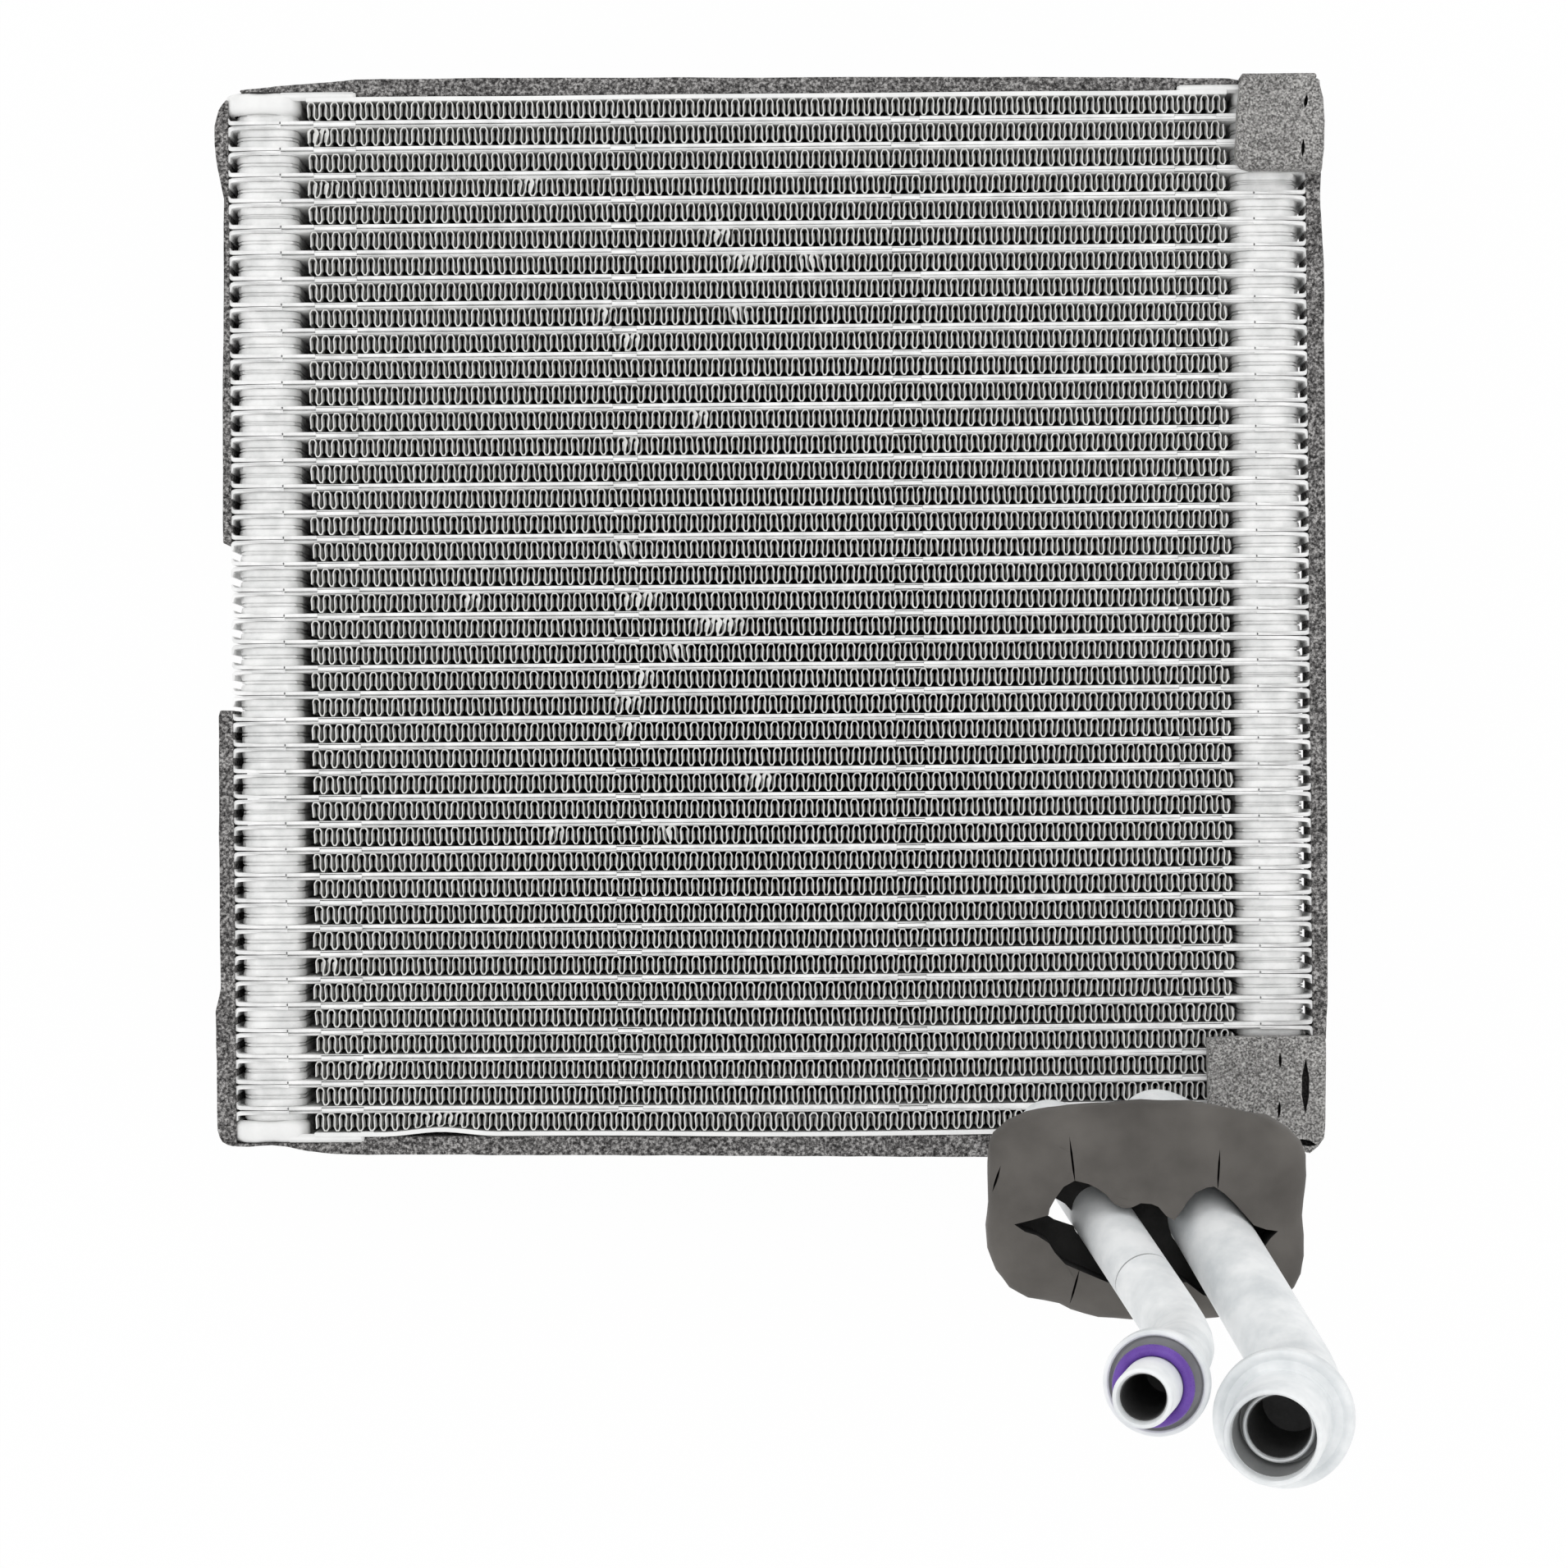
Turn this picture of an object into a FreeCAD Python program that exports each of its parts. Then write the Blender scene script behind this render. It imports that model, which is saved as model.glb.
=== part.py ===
import FreeCAD, Part
import math
import os

import Sketcher

# Evaporator core of a vehicle air conditioner, in millimetres.
# It lies on its back face: X runs across the core, Y up the tube stack, Z out of the front.
# The origin is the centre of the back face.

os.makedirs("parts", exist_ok=True)
doc = FreeCAD.newDocument("evaporator_core")

# Driving sizes
SIZES = [
    ("core_width", 249.2, "over the lips of the tube plates"),
    ("core_depth", 38.0, "front face to back face"),
    ("tube_count", 39, "tubes in the stack"),
    ("tube_pitch", 6.0, "tube to tube"),
    ("tube_thickness", 1.6, "two plates brazed together"),
    ("lip_length", 1.4, "flared lip at each end of a tube"),
    ("lip_flare", 0.6, "lip above and below the tube's faces"),
    ("cup_width", 14.8, "drawn tank cup, along X"),
    ("cup_inset", 2.3, "tube end to the cup's foot"),
    ("cup_margin", 1.6, "front and back edge to the cup's foot"),
    ("cup_corner", 4.6, "cut corner of the cup's outline"),
    ("cup_draft", 0.8, "how much the cup narrows on each side"),
    ("fin_folds", 6, "full folds drawn for each strip"),
    ("fin_sheet", 0.3, "sheet of the folded strip"),
    ("fin_end_gap", 1.4, "cup's foot to the strip's end"),
    ("fin_setback", 0.5, "strip behind the tube edges, front and back"),
    ("side_plate_sheet", 1.0, "side plates"),
    ("side_plate_gap", 0.8, "side plate's end to the cap's cup"),
    ("cap_sheet", 1.2, "base plate of an end cap"),
    ("cap_length", 29.6, "base plate, from the core's edge inward"),
    ("cap_dome", 1.0, "height of the drawn dome"),
    ("cap_dome_margin", 1.5, "dome's foot inside the cup's outline"),
    ("soft_gap", 0.3, "foam to the metal beside it"),
    ("tape_sheet", 3.8, "foam tape on the left and right sides"),
    ("top_band_sheet", 3.6, "foam tape along the top"),
    ("bottom_band_sheet", 4.8, "foam tape along the bottom"),
    ("tape_setback", 1.0, "tape behind the front edge"),
    ("left_tape_depth", 24.0, "tape on the left, front to back"),
    ("right_tape_depth", 14.0, "tape on the right, front to back"),
    ("band_depth", 24.0, "tape on the top and bottom, front to back"),
    ("left_upper_length", 104.0, "upper tape on the left"),
    ("left_lower_length", 101.7, "lower tape on the left"),
    ("left_tape_rise", 0.7, "upper tape's end past the top side plate"),
    ("left_tape_drop", 3.2, "lower tape's end past the bottom side plate"),
    ("band_overlap", 14.9, "top tape's reach over the left end cap"),
    ("bottom_band_end", 74.0, "bottom tape's end, in from the right edge"),
    ("corner_front_sheet", 4.0, "corner pads on the front face"),
    ("corner_top_side", 3.0, "top pad on the side"),
    ("corner_cap_sheet", 1.3, "top pad over the end cap"),
    ("corner_bottom_side", 1.8, "bottom pad on the side"),
    ("corner_top_width", 17.0, "top pad, in from the right edge"),
    ("corner_top_length", 19.9, "top pad, down from the side plate"),
    ("corner_bottom_width", 24.7, "bottom pad, in from the right edge"),
    ("corner_bottom_length", 21.0, "bottom pad, up from the side plate"),
    ("apron_width", 7.0, "flap of the bottom pad over the block"),
    ("apron_length", 24.0, "flap below the end cap"),
    ("block_width", 21.0, "connector block, along X"),
    ("block_inset", 3.6, "right edge of the core to the block"),
    ("block_drop", 32.0, "block below the end cap"),
    ("block_back", 8.0, "back face of the core to the block"),
    ("lug_width", 12.4, "front lug that carries the ports"),
    ("boss_wall", 2.0, "wall of a port boss round its pipe"),
    ("boss_root", 3.0, "boss behind the socket's floor"),
    ("lug_step", 2.6, "lug's top below the end cap"),
    ("lug_reach", 26.0, "lug in front of the front face"),
    ("socket_depth", 7.0, "pipe end in its port"),
    ("braze_gap", 0.1, "pipe to the socket wall"),
    ("pipe_wall", 1.3, "both pipes"),
    ("suction_outer", 15.88, "suction pipe"),
    ("suction_bend", 12.0, "elbow beside the core"),
    ("suction_set", 26.0, "easy bend behind the fitting"),
    ("suction_port_inset", 19.1, "socket floor, in from the right edge"),
    ("suction_port_drop", 8.1, "socket floor, below the end cap"),
    ("suction_port_reach", 15.0, "socket floor, ahead of the front face"),
    ("suction_elbow_inset", 42.6, "elbow corner, in from the right edge"),
    ("suction_elbow_rise", 9.9, "elbow corner, above the end cap's foot"),
    ("suction_elbow_reach", 15.0, "elbow corner, ahead of the front face"),
    ("suction_end_inset", 27.6, "fitting's flange, in from the edge"),
    ("suction_end_drop", 39.6, "fitting's flange, below the end cap"),
    ("suction_end_reach", 158.0, "fitting's flange, ahead of the face"),
    ("suction_run", 41.6, "easy bend's corner to the flange's face"),
    ("liquid_outer", 12.7, "liquid pipe"),
    ("liquid_bend", 12.5, "elbow beside the core"),
    ("liquid_set", 26.0, "easy bend behind the fitting"),
    ("liquid_port_inset", 19.6, "socket floor, in from the right edge"),
    ("liquid_port_drop", 25.0, "socket floor, below the end cap"),
    ("liquid_port_reach", 4.0, "socket floor, ahead of the front face"),
    ("liquid_elbow_inset", 66.1, "elbow corner, in from the right edge"),
    ("liquid_elbow_rise", 7.7, "elbow corner, above the end cap's foot"),
    ("liquid_elbow_reach", 13.0, "elbow corner, ahead of the front face"),
    ("liquid_end_inset", 52.1, "fitting's flange, in from the edge"),
    ("liquid_end_drop", 32.0, "fitting's flange, below the end cap"),
    ("liquid_end_reach", 161.0, "fitting's flange, ahead of the face"),
    ("liquid_run", 50.0, "easy bend's corner to the flange's face"),
    ("suction_tilt", 13.5, "fitting leans to the left, degrees"),
    ("liquid_tilt", 12.9, "fitting leans to the left, degrees"),
    ("flange_sheet", 3.0, "flange of a fitting"),
    ("sleeve_wall", 1.5, "brazed sleeve round the pipe"),
    ("sleeve_length", 4.5, "sleeve behind the flange"),
    ("dish_depth", 0.8, "dished face of the flange"),
    ("rim_width", 1.1, "raised rim round the dished face"),
    ("suction_flange", 27.0, "flange diameter"),
    ("suction_nose", 19.0, "nose diameter"),
    ("suction_nose_wall", 1.0, "nose wall"),
    ("suction_nose_length", 12.0, "nose in front of the flange"),
    ("suction_seat_depth", 8.0, "socket in the nose"),
    ("suction_lip", 14.4, "raised lip at the bottom of the socket"),
    ("suction_lip_rise", 4.0, "lip above the socket's floor"),
    ("suction_bore", 12.5, "bore of the fitting"),
    ("bore_depth", 10.0, "open bore of both pipes behind the flange"),
    ("liquid_flange", 20.5, "flange diameter"),
    ("liquid_nose", 12.0, "nose diameter"),
    ("liquid_nose_length", 14.0, "nose in front of the flange"),
    ("liquid_bore", 8.8, "bore of the fitting"),
    ("nose_bevel", 0.6, "bevel at the tip of the liquid nose"),
    ("ring_section", 2.1, "O-ring cord"),
    ("ring_place", 1.2, "O-ring in front of the flange"),
    ("ring_gap", 0.05, "O-ring to the floor of its groove"),
    ("ring_side_gap", 0.1, "O-ring to the sides of its groove"),
    ("groove_depth", 0.3, "groove for the O-ring"),
    ("ring_flat", 0.8, "flat stretch of the six-sided cord section"),
    ("seal_width", 69.0, "moulded seal pad, along X"),
    ("seal_length", 47.6, "moulded seal pad, along Y"),
    ("seal_sheet", 14.0, "moulded seal pad, along Z"),
    ("seal_corner", 14.0, "rounded corners of the seal pad"),
    ("seal_reach", 60.0, "seal pad ahead of the front face"),
    ("seal_inset", 45.2, "seal pad's centre, in from the right edge"),
    ("seal_drop", 9.0, "seal pad's centre, below the end cap"),
    ("seal_small_hole", 17.5, "hole round the liquid pipe"),
]

sheet = doc.addObject("Spreadsheet::Sheet", "sizes")
for row, (alias, value, meaning) in enumerate(SIZES, start=1):
    sheet.set(f"A{row}", meaning)
    sheet.set(f"B{row}", str(value))
    sheet.setAlias(f"B{row}", alias)
doc.recompute()


def size(alias):
    """Value of one cell of the sheet."""
    return float(getattr(sheet, alias))


# Places that several pieces share, as expressions on the sheet
HALF_WIDTH = "(sizes.core_width / 2)"
HALF_ROWS = "((sizes.tube_count + 1) / 2 * sizes.tube_pitch)"
PLATE_INSIDE = f"({HALF_ROWS} - sizes.tube_thickness / 2)"
PLATE_OUTSIDE = f"({PLATE_INSIDE} + sizes.side_plate_sheet)"
CAP_OUTSIDE = f"({PLATE_OUTSIDE} + sizes.cap_sheet)"
DOME_TOP = f"({CAP_OUTSIDE} + sizes.cap_dome)"
CUP_TOP = "(sizes.tube_pitch / 2)"
CUP_OUTER_X = f"({HALF_WIDTH} - sizes.cup_inset)"
CUP_INNER_X = f"({CUP_OUTER_X} - sizes.cup_width)"


def worked_out(expression):
    """Number that an expression on the sheet gives."""
    return float(sheet.evalExpression(expression))


def bind(thing, **expressions):
    """Bind properties of an object to expressions; x, y and z place it."""
    for name, expression in expressions.items():
        path = f"Placement.Base.{name}" if name in ("x", "y", "z") else name
        thing.setExpression(path, str(expression))
    return thing


def outline(sketch, corners):
    """Closed outline of straight lines, each corner fixed by two expressions."""
    values = [(worked_out(a), worked_out(b)) for a, b in corners]
    for index, (first, second) in enumerate(zip(values, values[1:] + values[:1])):
        start = FreeCAD.Vector(first[0], first[1], 0)
        end = FreeCAD.Vector(second[0], second[1], 0)
        sketch.addGeometry(Part.LineSegment(start, end), False)
    for index in range(len(corners)):
        after = (index + 1) % len(corners)
        sketch.addConstraint(Sketcher.Constraint("Coincident", index, 2, after, 1))
    for index, (across, along) in enumerate(corners):
        for kind, value, expression in (
            ("DistanceX", values[index][0], across),
            ("DistanceY", values[index][1], along),
        ):
            number = sketch.addConstraint(
                Sketcher.Constraint(kind, -1, 1, index, 1, value)
            )
            sketch.setExpression(f"Constraints[{number}]", expression)
    return sketch


def flat_sketch(name, corners):
    """Sketch of a closed outline in the XY plane."""
    return outline(doc.addObject("Sketcher::SketchObject", name), corners)


def box(name, x_range, y_range, z_range):
    """Box between three pairs of expressions."""
    block = doc.addObject("Part::Box", name)
    return bind(
        block,
        x=x_range[0], y=y_range[0], z=z_range[0],
        Length=f"{x_range[1]} - {x_range[0]}",
        Width=f"{y_range[1]} - {y_range[0]}",
        Height=f"{z_range[1]} - {z_range[0]}",
    )


def fuse(name, pieces):
    """One solid from several."""
    whole = doc.addObject("Part::MultiFuse", name)
    whole.Shapes = pieces
    return whole


def cut(name, base, tool):
    """Base without the tool."""
    rest = doc.addObject("Part::Cut", name)
    rest.Base = base
    rest.Tool = tool
    return rest


def mirrored(name, source, normal):
    """Mirror image through the origin."""
    image = doc.addObject("Part::Mirroring", name)
    image.Source = source
    image.Normal = normal
    image.Base = FreeCAD.Vector()
    return image


def extruded(name, sketch, length):
    """Solid pushed out of a sketch along its normal."""
    solid = doc.addObject("Part::Extrusion", name)
    solid.Base = sketch
    solid.DirMode = "Normal"
    solid.Solid = True
    return bind(solid, LengthFwd=length)


ACROSS = FreeCAD.Vector(1, 0, 0)
UP = FreeCAD.Vector(0, 1, 0)
FULL_DEPTH = ("0", "sizes.core_depth")


# Tank cups: cut-cornered outlines in plan, drawn together towards the seam
def cup_outline(shrink):
    """Corners of the right tank's outline, drawn in by an expression."""
    left = f"({CUP_INNER_X} + {shrink})"
    right = f"({CUP_OUTER_X} - {shrink})"
    back = f"(sizes.cup_margin + {shrink})"
    front = f"(sizes.core_depth - sizes.cup_margin - {shrink})"
    corner = "sizes.cup_corner"
    return [
        (f"{left} + {corner}", back),
        (f"{right} - {corner}", back),
        (right, f"{back} + {corner}"),
        (right, f"{front} - {corner}"),
        (f"{right} - {corner}", front),
        (f"{left} + {corner}", front),
        (left, f"{front} - {corner}"),
        (left, f"{back} + {corner}"),
    ]


def level_corners(shrink, height):
    """Corners of the cup's outline at one height."""
    return [
        FreeCAD.Vector(worked_out(across), worked_out(height), worked_out(deep))
        for across, deep in cup_outline(shrink)
    ]


def drawn_cup(name, foot, foot_shrink, top, top_shrink):
    """Solid cup with flat sides between two heights, each with its own inward draw."""
    lower = level_corners(foot_shrink, foot)
    upper = level_corners(top_shrink, top)
    rings = [lower, upper]
    for index in range(len(lower)):
        after = (index + 1) % len(lower)
        rings.append([lower[index], lower[after], upper[after], upper[index]])
    faces = [Part.Face(Part.makePolygon(ring + ring[:1])) for ring in rings]
    cup = doc.addObject("Part::Feature", name)
    cup.Shape = Part.makeSolid(Part.makeShell(faces))
    return cup


# Tube: two stamped plates as one brazed solid, with flared lips and four cups
def tube_profile():
    """Corners of the flat tube seen from the front, with its lips."""
    neck = f"({HALF_WIDTH} - sizes.lip_length)"
    face = "(sizes.tube_thickness / 2)"
    lip = f"({face} + sizes.lip_flare)"
    right = [
        (neck, f"-{face}"),
        (HALF_WIDTH, f"-{lip}"),
        (HALF_WIDTH, lip),
        (neck, face),
    ]
    left = [
        (f"-{neck}", face),
        (f"-{HALF_WIDTH}", lip),
        (f"-{HALF_WIDTH}", f"-{lip}"),
        (f"-{neck}", f"-{face}"),
    ]
    return right + left


def tubes():
    """The stamped tube and its copies, one to each pitch."""
    plates = extruded(
        "tube_plates", flat_sketch("tube_profile", tube_profile()), "sizes.core_depth"
    )
    upper_right = drawn_cup("tube_cup", "(sizes.tube_thickness / 2)", "0",
                            CUP_TOP, "sizes.cup_draft")
    upper_left = mirrored("tube_cup_left", upper_right, ACROSS)
    lower_right = mirrored("tube_cup_lower", upper_right, UP)
    lower_left = mirrored("tube_cup_lower_left", upper_left, UP)
    stamped = fuse("stamped_tube", [plates, upper_right, upper_left, lower_right, lower_left])
    copies = []
    for number in range(1, int(size("tube_count")) + 1):
        tube = doc.addObject("Part::Compound", f"tube_{number:02d}")
        tube.Links = [stamped]
        copies.append(bind(
            tube, y=f"((sizes.tube_count + 1) / 2 - {number}) * sizes.tube_pitch"
        ))
    return copies


# Fins: a folded strip in each gap, its crests on the tubes
def fin_strip(centre):
    """One folded strip about a height, crest to crest between two tubes."""
    reach = worked_out(CUP_INNER_X) - size("fin_end_gap")
    crest = (size("tube_pitch") - size("tube_thickness")) / 2
    steps = 2 * int(size("fin_folds"))
    sheet_height = size("fin_sheet")
    back = size("fin_setback")
    upper = []
    for step in range(steps + 1):
        across = -reach + 2 * reach * step / steps
        low = -crest + sheet_height
        height = crest if step % 2 else low
        upper.append(FreeCAD.Vector(across, centre + height, back))
    drop = FreeCAD.Vector(0, sheet_height, 0)
    lower = [point - drop for point in reversed(upper)]
    corners = upper + lower
    face = Part.Face(Part.makePolygon(corners + corners[:1]))
    return face.extrude(FreeCAD.Vector(0, 0, size("core_depth") - 2 * back))


def fins():
    """All the strips as one group."""
    rows = int(size("tube_count")) + 1
    strips = [
        fin_strip(((rows - 1) / 2 - row) * size("tube_pitch")) for row in range(rows)
    ]
    group = doc.addObject("Part::Feature", "fin_strips")
    group.Shape = Part.makeCompound(strips)
    return [group]


# Side plates and end caps close the stack
def side_plates():
    """Flat plates over the outer fin strips."""
    end = f"({CUP_INNER_X} - sizes.side_plate_gap)"
    across = (f"(-{end})", end)
    return [
        box("top_side_plate", across, (PLATE_INSIDE, PLATE_OUTSIDE), FULL_DEPTH),
        box("bottom_side_plate", across, (f"(-{PLATE_OUTSIDE})", f"(-{PLATE_INSIDE})"),
            FULL_DEPTH),
    ]


def end_caps():
    """Base plate, cup against the last tube's cup, and drawn dome; four corners."""
    base = box(
        "cap_base",
        (f"({HALF_WIDTH} - sizes.cap_length)", HALF_WIDTH),
        (PLATE_OUTSIDE, CAP_OUTSIDE),
        FULL_DEPTH,
    )
    last_seam = f"({HALF_ROWS} - {CUP_TOP})"
    cup = drawn_cup("cap_cup", last_seam, "sizes.cup_draft", PLATE_OUTSIDE, "0")
    margin = "sizes.cap_dome_margin"
    dome = drawn_cup("cap_dome", CAP_OUTSIDE, margin,
                     DOME_TOP, f"({margin} + sizes.cap_dome)")
    top_right = fuse("end_cap_top_right", [base, cup, dome])
    top_left = mirrored("end_cap_top_left", top_right, ACROSS)
    bottom_right = mirrored("end_cap_bottom_right", top_right, UP)
    bottom_left = mirrored("end_cap_bottom_left", top_left, UP)
    return [top_right, top_left, bottom_right, bottom_left]


# Foam tape round the edges
TAPE_FRONT = "(sizes.core_depth - sizes.tape_setback)"
LEFT_DEPTH = (f"({TAPE_FRONT} - sizes.left_tape_depth)", TAPE_FRONT)
RIGHT_DEPTH = (f"({TAPE_FRONT} - sizes.right_tape_depth)", TAPE_FRONT)
SIDE_SEAT = f"({HALF_WIDTH} + sizes.soft_gap)"
PAD_TOP_END = f"({PLATE_OUTSIDE} - sizes.corner_top_length)"
PAD_BOTTOM_END = f"({PLATE_OUTSIDE} - sizes.corner_bottom_length)"


def side_tapes():
    """Two tapes on the left edge and one on the right."""
    left = (f"(-{SIDE_SEAT} - sizes.tape_sheet)", f"(-{SIDE_SEAT})")
    right = (SIDE_SEAT, f"({SIDE_SEAT} + sizes.tape_sheet)")
    upper_top = f"({PLATE_OUTSIDE} + sizes.left_tape_rise)"
    lower_foot = f"(-{PLATE_OUTSIDE} - sizes.left_tape_drop)"
    return [
        box("foam_left_upper", left,
            (f"({upper_top} - sizes.left_upper_length)", upper_top), LEFT_DEPTH),
        box("foam_left_lower", left,
            (lower_foot, f"({lower_foot} + sizes.left_lower_length)"), LEFT_DEPTH),
        box("foam_right", right,
            (f"(-{PAD_BOTTOM_END} + sizes.soft_gap)", f"({PAD_TOP_END} - sizes.soft_gap)"),
            RIGHT_DEPTH),
    ]


def band_profile(sign, sheet_name, left_end, right_end):
    """Corners of a band that lies on the side plate and over the end caps."""
    plate_seat = f"({PLATE_OUTSIDE} + sizes.soft_gap)"
    cap_seat = f"({CAP_OUTSIDE} + sizes.soft_gap)"
    dome_seat = f"({DOME_TOP} + sizes.soft_gap)"
    outside = f"({plate_seat} + sizes.{sheet_name})"
    cap_end = f"({HALF_WIDTH} - sizes.cap_length - sizes.soft_gap)"
    dome_end = f"({CUP_INNER_X} - sizes.soft_gap)"
    steps = [
        (left_end, dome_seat),
        (f"-{dome_end}", dome_seat),
        (f"-{dome_end}", cap_seat),
        (f"-{cap_end}", cap_seat),
        (f"-{cap_end}", plate_seat),
    ]
    if sign > 0:
        steps += [(cap_end, plate_seat), (cap_end, cap_seat), (right_end, cap_seat)]
    else:
        steps += [(right_end, plate_seat)]
    steps += [(right_end, outside), (left_end, outside)]
    return [(across, f"{sign} * {height}") for across, height in steps]


def edge_bands():
    """Foam bands along the top and the bottom."""
    cup_outer_left = f"(-{CUP_INNER_X} - sizes.band_overlap)"
    top_end = f"({HALF_WIDTH} - sizes.corner_top_width - sizes.soft_gap)"
    bottom_end = f"({HALF_WIDTH} - sizes.bottom_band_end)"
    bands = []
    for name, sign, sheet_name, left_end, right_end in (
        ("foam_top", 1, "top_band_sheet", cup_outer_left, top_end),
        ("foam_bottom", -1, "bottom_band_sheet",
         f"(-{HALF_WIDTH} + sizes.soft_gap)", bottom_end),
    ):
        profile = band_profile(sign, sheet_name, left_end, right_end)
        sketch = flat_sketch(f"{name}_profile", profile)
        bind(sketch, z=f"{TAPE_FRONT} - sizes.band_depth")
        bands.append(extruded(name, sketch, "sizes.band_depth"))
    return bands


# Corner pads wrap from the front face over the sides
FRONT_SEAT = "(sizes.core_depth + sizes.soft_gap)"
FRONT_SHEET = (FRONT_SEAT, f"({FRONT_SEAT} + sizes.corner_front_sheet)")
TOP_PAD_SIDE = (SIDE_SEAT, f"({SIDE_SEAT} + sizes.corner_top_side)")
BOTTOM_PAD_SIDE = (SIDE_SEAT, f"({SIDE_SEAT} + sizes.corner_bottom_side)")
BEHIND_FRONT = ("sizes.tape_setback", FRONT_SEAT)
BOTTOM_PAD_FOOT = f"(-{DOME_TOP} - sizes.lug_step + sizes.soft_gap)"


def corner_pads():
    """Top pad with front, side and top panels; bottom pad with a flap."""
    top_seat = f"({DOME_TOP} + sizes.soft_gap)"
    top = f"({top_seat} + sizes.corner_cap_sheet)"
    top_left = f"({HALF_WIDTH} - sizes.corner_top_width)"
    top_pad = fuse("corner_pad_top_right", [
        box("top_pad_front", (top_left, TOP_PAD_SIDE[1]), (PAD_TOP_END, top), FRONT_SHEET),
        box("top_pad_side", TOP_PAD_SIDE, (PAD_TOP_END, top), BEHIND_FRONT),
        box("top_pad_top", (top_left, TOP_PAD_SIDE[1]), (top_seat, top), BEHIND_FRONT),
    ])
    bottom_left = f"({HALF_WIDTH} - sizes.corner_bottom_width)"
    head = f"(-{PAD_BOTTOM_END})"
    flap_right = f"({HALF_WIDTH} - sizes.block_inset)"
    bottom_pad = fuse("corner_pad_bottom_right", [
        box("bottom_pad_front", (bottom_left, BOTTOM_PAD_SIDE[1]), (BOTTOM_PAD_FOOT, head),
            FRONT_SHEET),
        box("bottom_pad_side", BOTTOM_PAD_SIDE, (BOTTOM_PAD_FOOT, head), BEHIND_FRONT),
        box("bottom_pad_flap", (f"({flap_right} - sizes.apron_width)", flap_right),
            (f"({BOTTOM_PAD_FOOT} - sizes.apron_length)", BOTTOM_PAD_FOOT), FRONT_SHEET),
    ])
    return [top_pad, bottom_pad]


# Pipe routes: corners given from the core's lower right front corner
def corner_point(pipe, place, rise=False):
    """Corner of a pipe's route."""
    step = size(f"{pipe}_{place}_rise") if rise else -size(f"{pipe}_{place}_drop")
    return FreeCAD.Vector(
        size("core_width") / 2 - size(f"{pipe}_{place}_inset"),
        -worked_out(DOME_TOP) + step,
        size("core_depth") + size(f"{pipe}_{place}_reach"),
    )


def fitting_axis(pipe):
    """Direction in which a fitting points."""
    lean = math.radians(size(f"{pipe}_tilt"))
    return FreeCAD.Vector(-math.sin(lean), 0, math.cos(lean))


def pipe_corners(pipe):
    """Socket floor, elbow, easy bend and the seat in the fitting."""
    flange = corner_point(pipe, "end")
    axis = fitting_axis(pipe)
    return [
        corner_point(pipe, "port"),
        corner_point(pipe, "elbow", rise=True),
        flange - axis * size(f"{pipe}_run"),
        flange - axis * size("flange_sheet"),
    ]


def rounded_route(corners, radii):
    """Wire of straight runs joined by tangent arcs."""
    edges = []
    start = corners[0]
    for before, corner, after, radius in zip(corners, corners[1:], corners[2:], radii):
        back = (before - corner).normalize()
        ahead = (after - corner).normalize()
        half_angle = back.getAngle(ahead) / 2
        tangent = radius / math.tan(half_angle)
        middle = (back + ahead).normalize()
        crown = corner + middle * (radius / math.sin(half_angle) - radius)
        first = corner + back * tangent
        last = corner + ahead * tangent
        edges.append(Part.LineSegment(start, first).toShape())
        edges.append(Part.Arc(first, crown, last).toShape())
        start = last
    edges.append(Part.LineSegment(start, corners[-1]).toShape())
    return Part.Wire(edges)


def swept(name, route, start, direction, radius):
    """Round bar along a route."""
    ring = doc.addObject("Part::Circle", f"{name}_ring")
    bind(ring, Radius=radius)
    ring.Placement = FreeCAD.Placement(
        start, FreeCAD.Rotation(FreeCAD.Vector(0, 0, 1), direction)
    )
    sweep = doc.addObject("Part::Sweep", name)
    sweep.Sections = [ring]
    sweep.Spine = (route, [])
    sweep.Solid = True
    sweep.Frenet = False
    return sweep


def rod(name, start, direction, radius, length):
    """Round bar from a point along a direction."""
    bar = doc.addObject("Part::Cylinder", name)
    bar.Placement = FreeCAD.Placement(
        start, FreeCAD.Rotation(FreeCAD.Vector(0, 0, 1), direction)
    )
    return bind(bar, Radius=radius, Height=length)


# Connector block under the right tank, with a socket for each pipe
def connector_block():
    """Block against the lower end cap, front lug, and the bosses with their sockets."""
    right = f"({HALF_WIDTH} - sizes.block_inset)"
    left = f"({right} - sizes.block_width)"
    head = f"(-{DOME_TOP})"
    foot = f"({head} - sizes.block_drop)"
    body = box("block_body", (left, right), (foot, head),
               ("sizes.block_back", "sizes.core_depth"))
    lug = box("block_lug", (left, f"({left} + sizes.lug_width)"),
              (foot, f"({head} - sizes.lug_step)"),
              ("sizes.core_depth", "(sizes.core_depth + sizes.lug_reach)"))
    metal = [body, lug]
    sockets = []
    for name in ("suction", "liquid"):
        floor, elbow = pipe_corners(name)[:2]
        direction = (elbow - floor).normalize()
        radius = f"(sizes.{name}_outer / 2 + sizes.braze_gap)"
        metal.append(rod(
            f"{name}_boss", floor - direction * size("boss_root"), direction,
            f"{radius} + sizes.boss_wall", "sizes.boss_root + sizes.socket_depth",
        ))
        sockets.append(rod(
            f"{name}_socket", floor, direction, radius, "2 * sizes.socket_depth"
        ))
    return [cut("connector_block", fuse("block_metal", metal), fuse("sockets", sockets))]


# Turned pieces: revolved half sections on the axis of a pipe's end
def origin_plane(body, role):
    """One of the origin planes of a body."""
    return next(part for part in body.Origin.OriginFeatures if part.Role == role)


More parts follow.
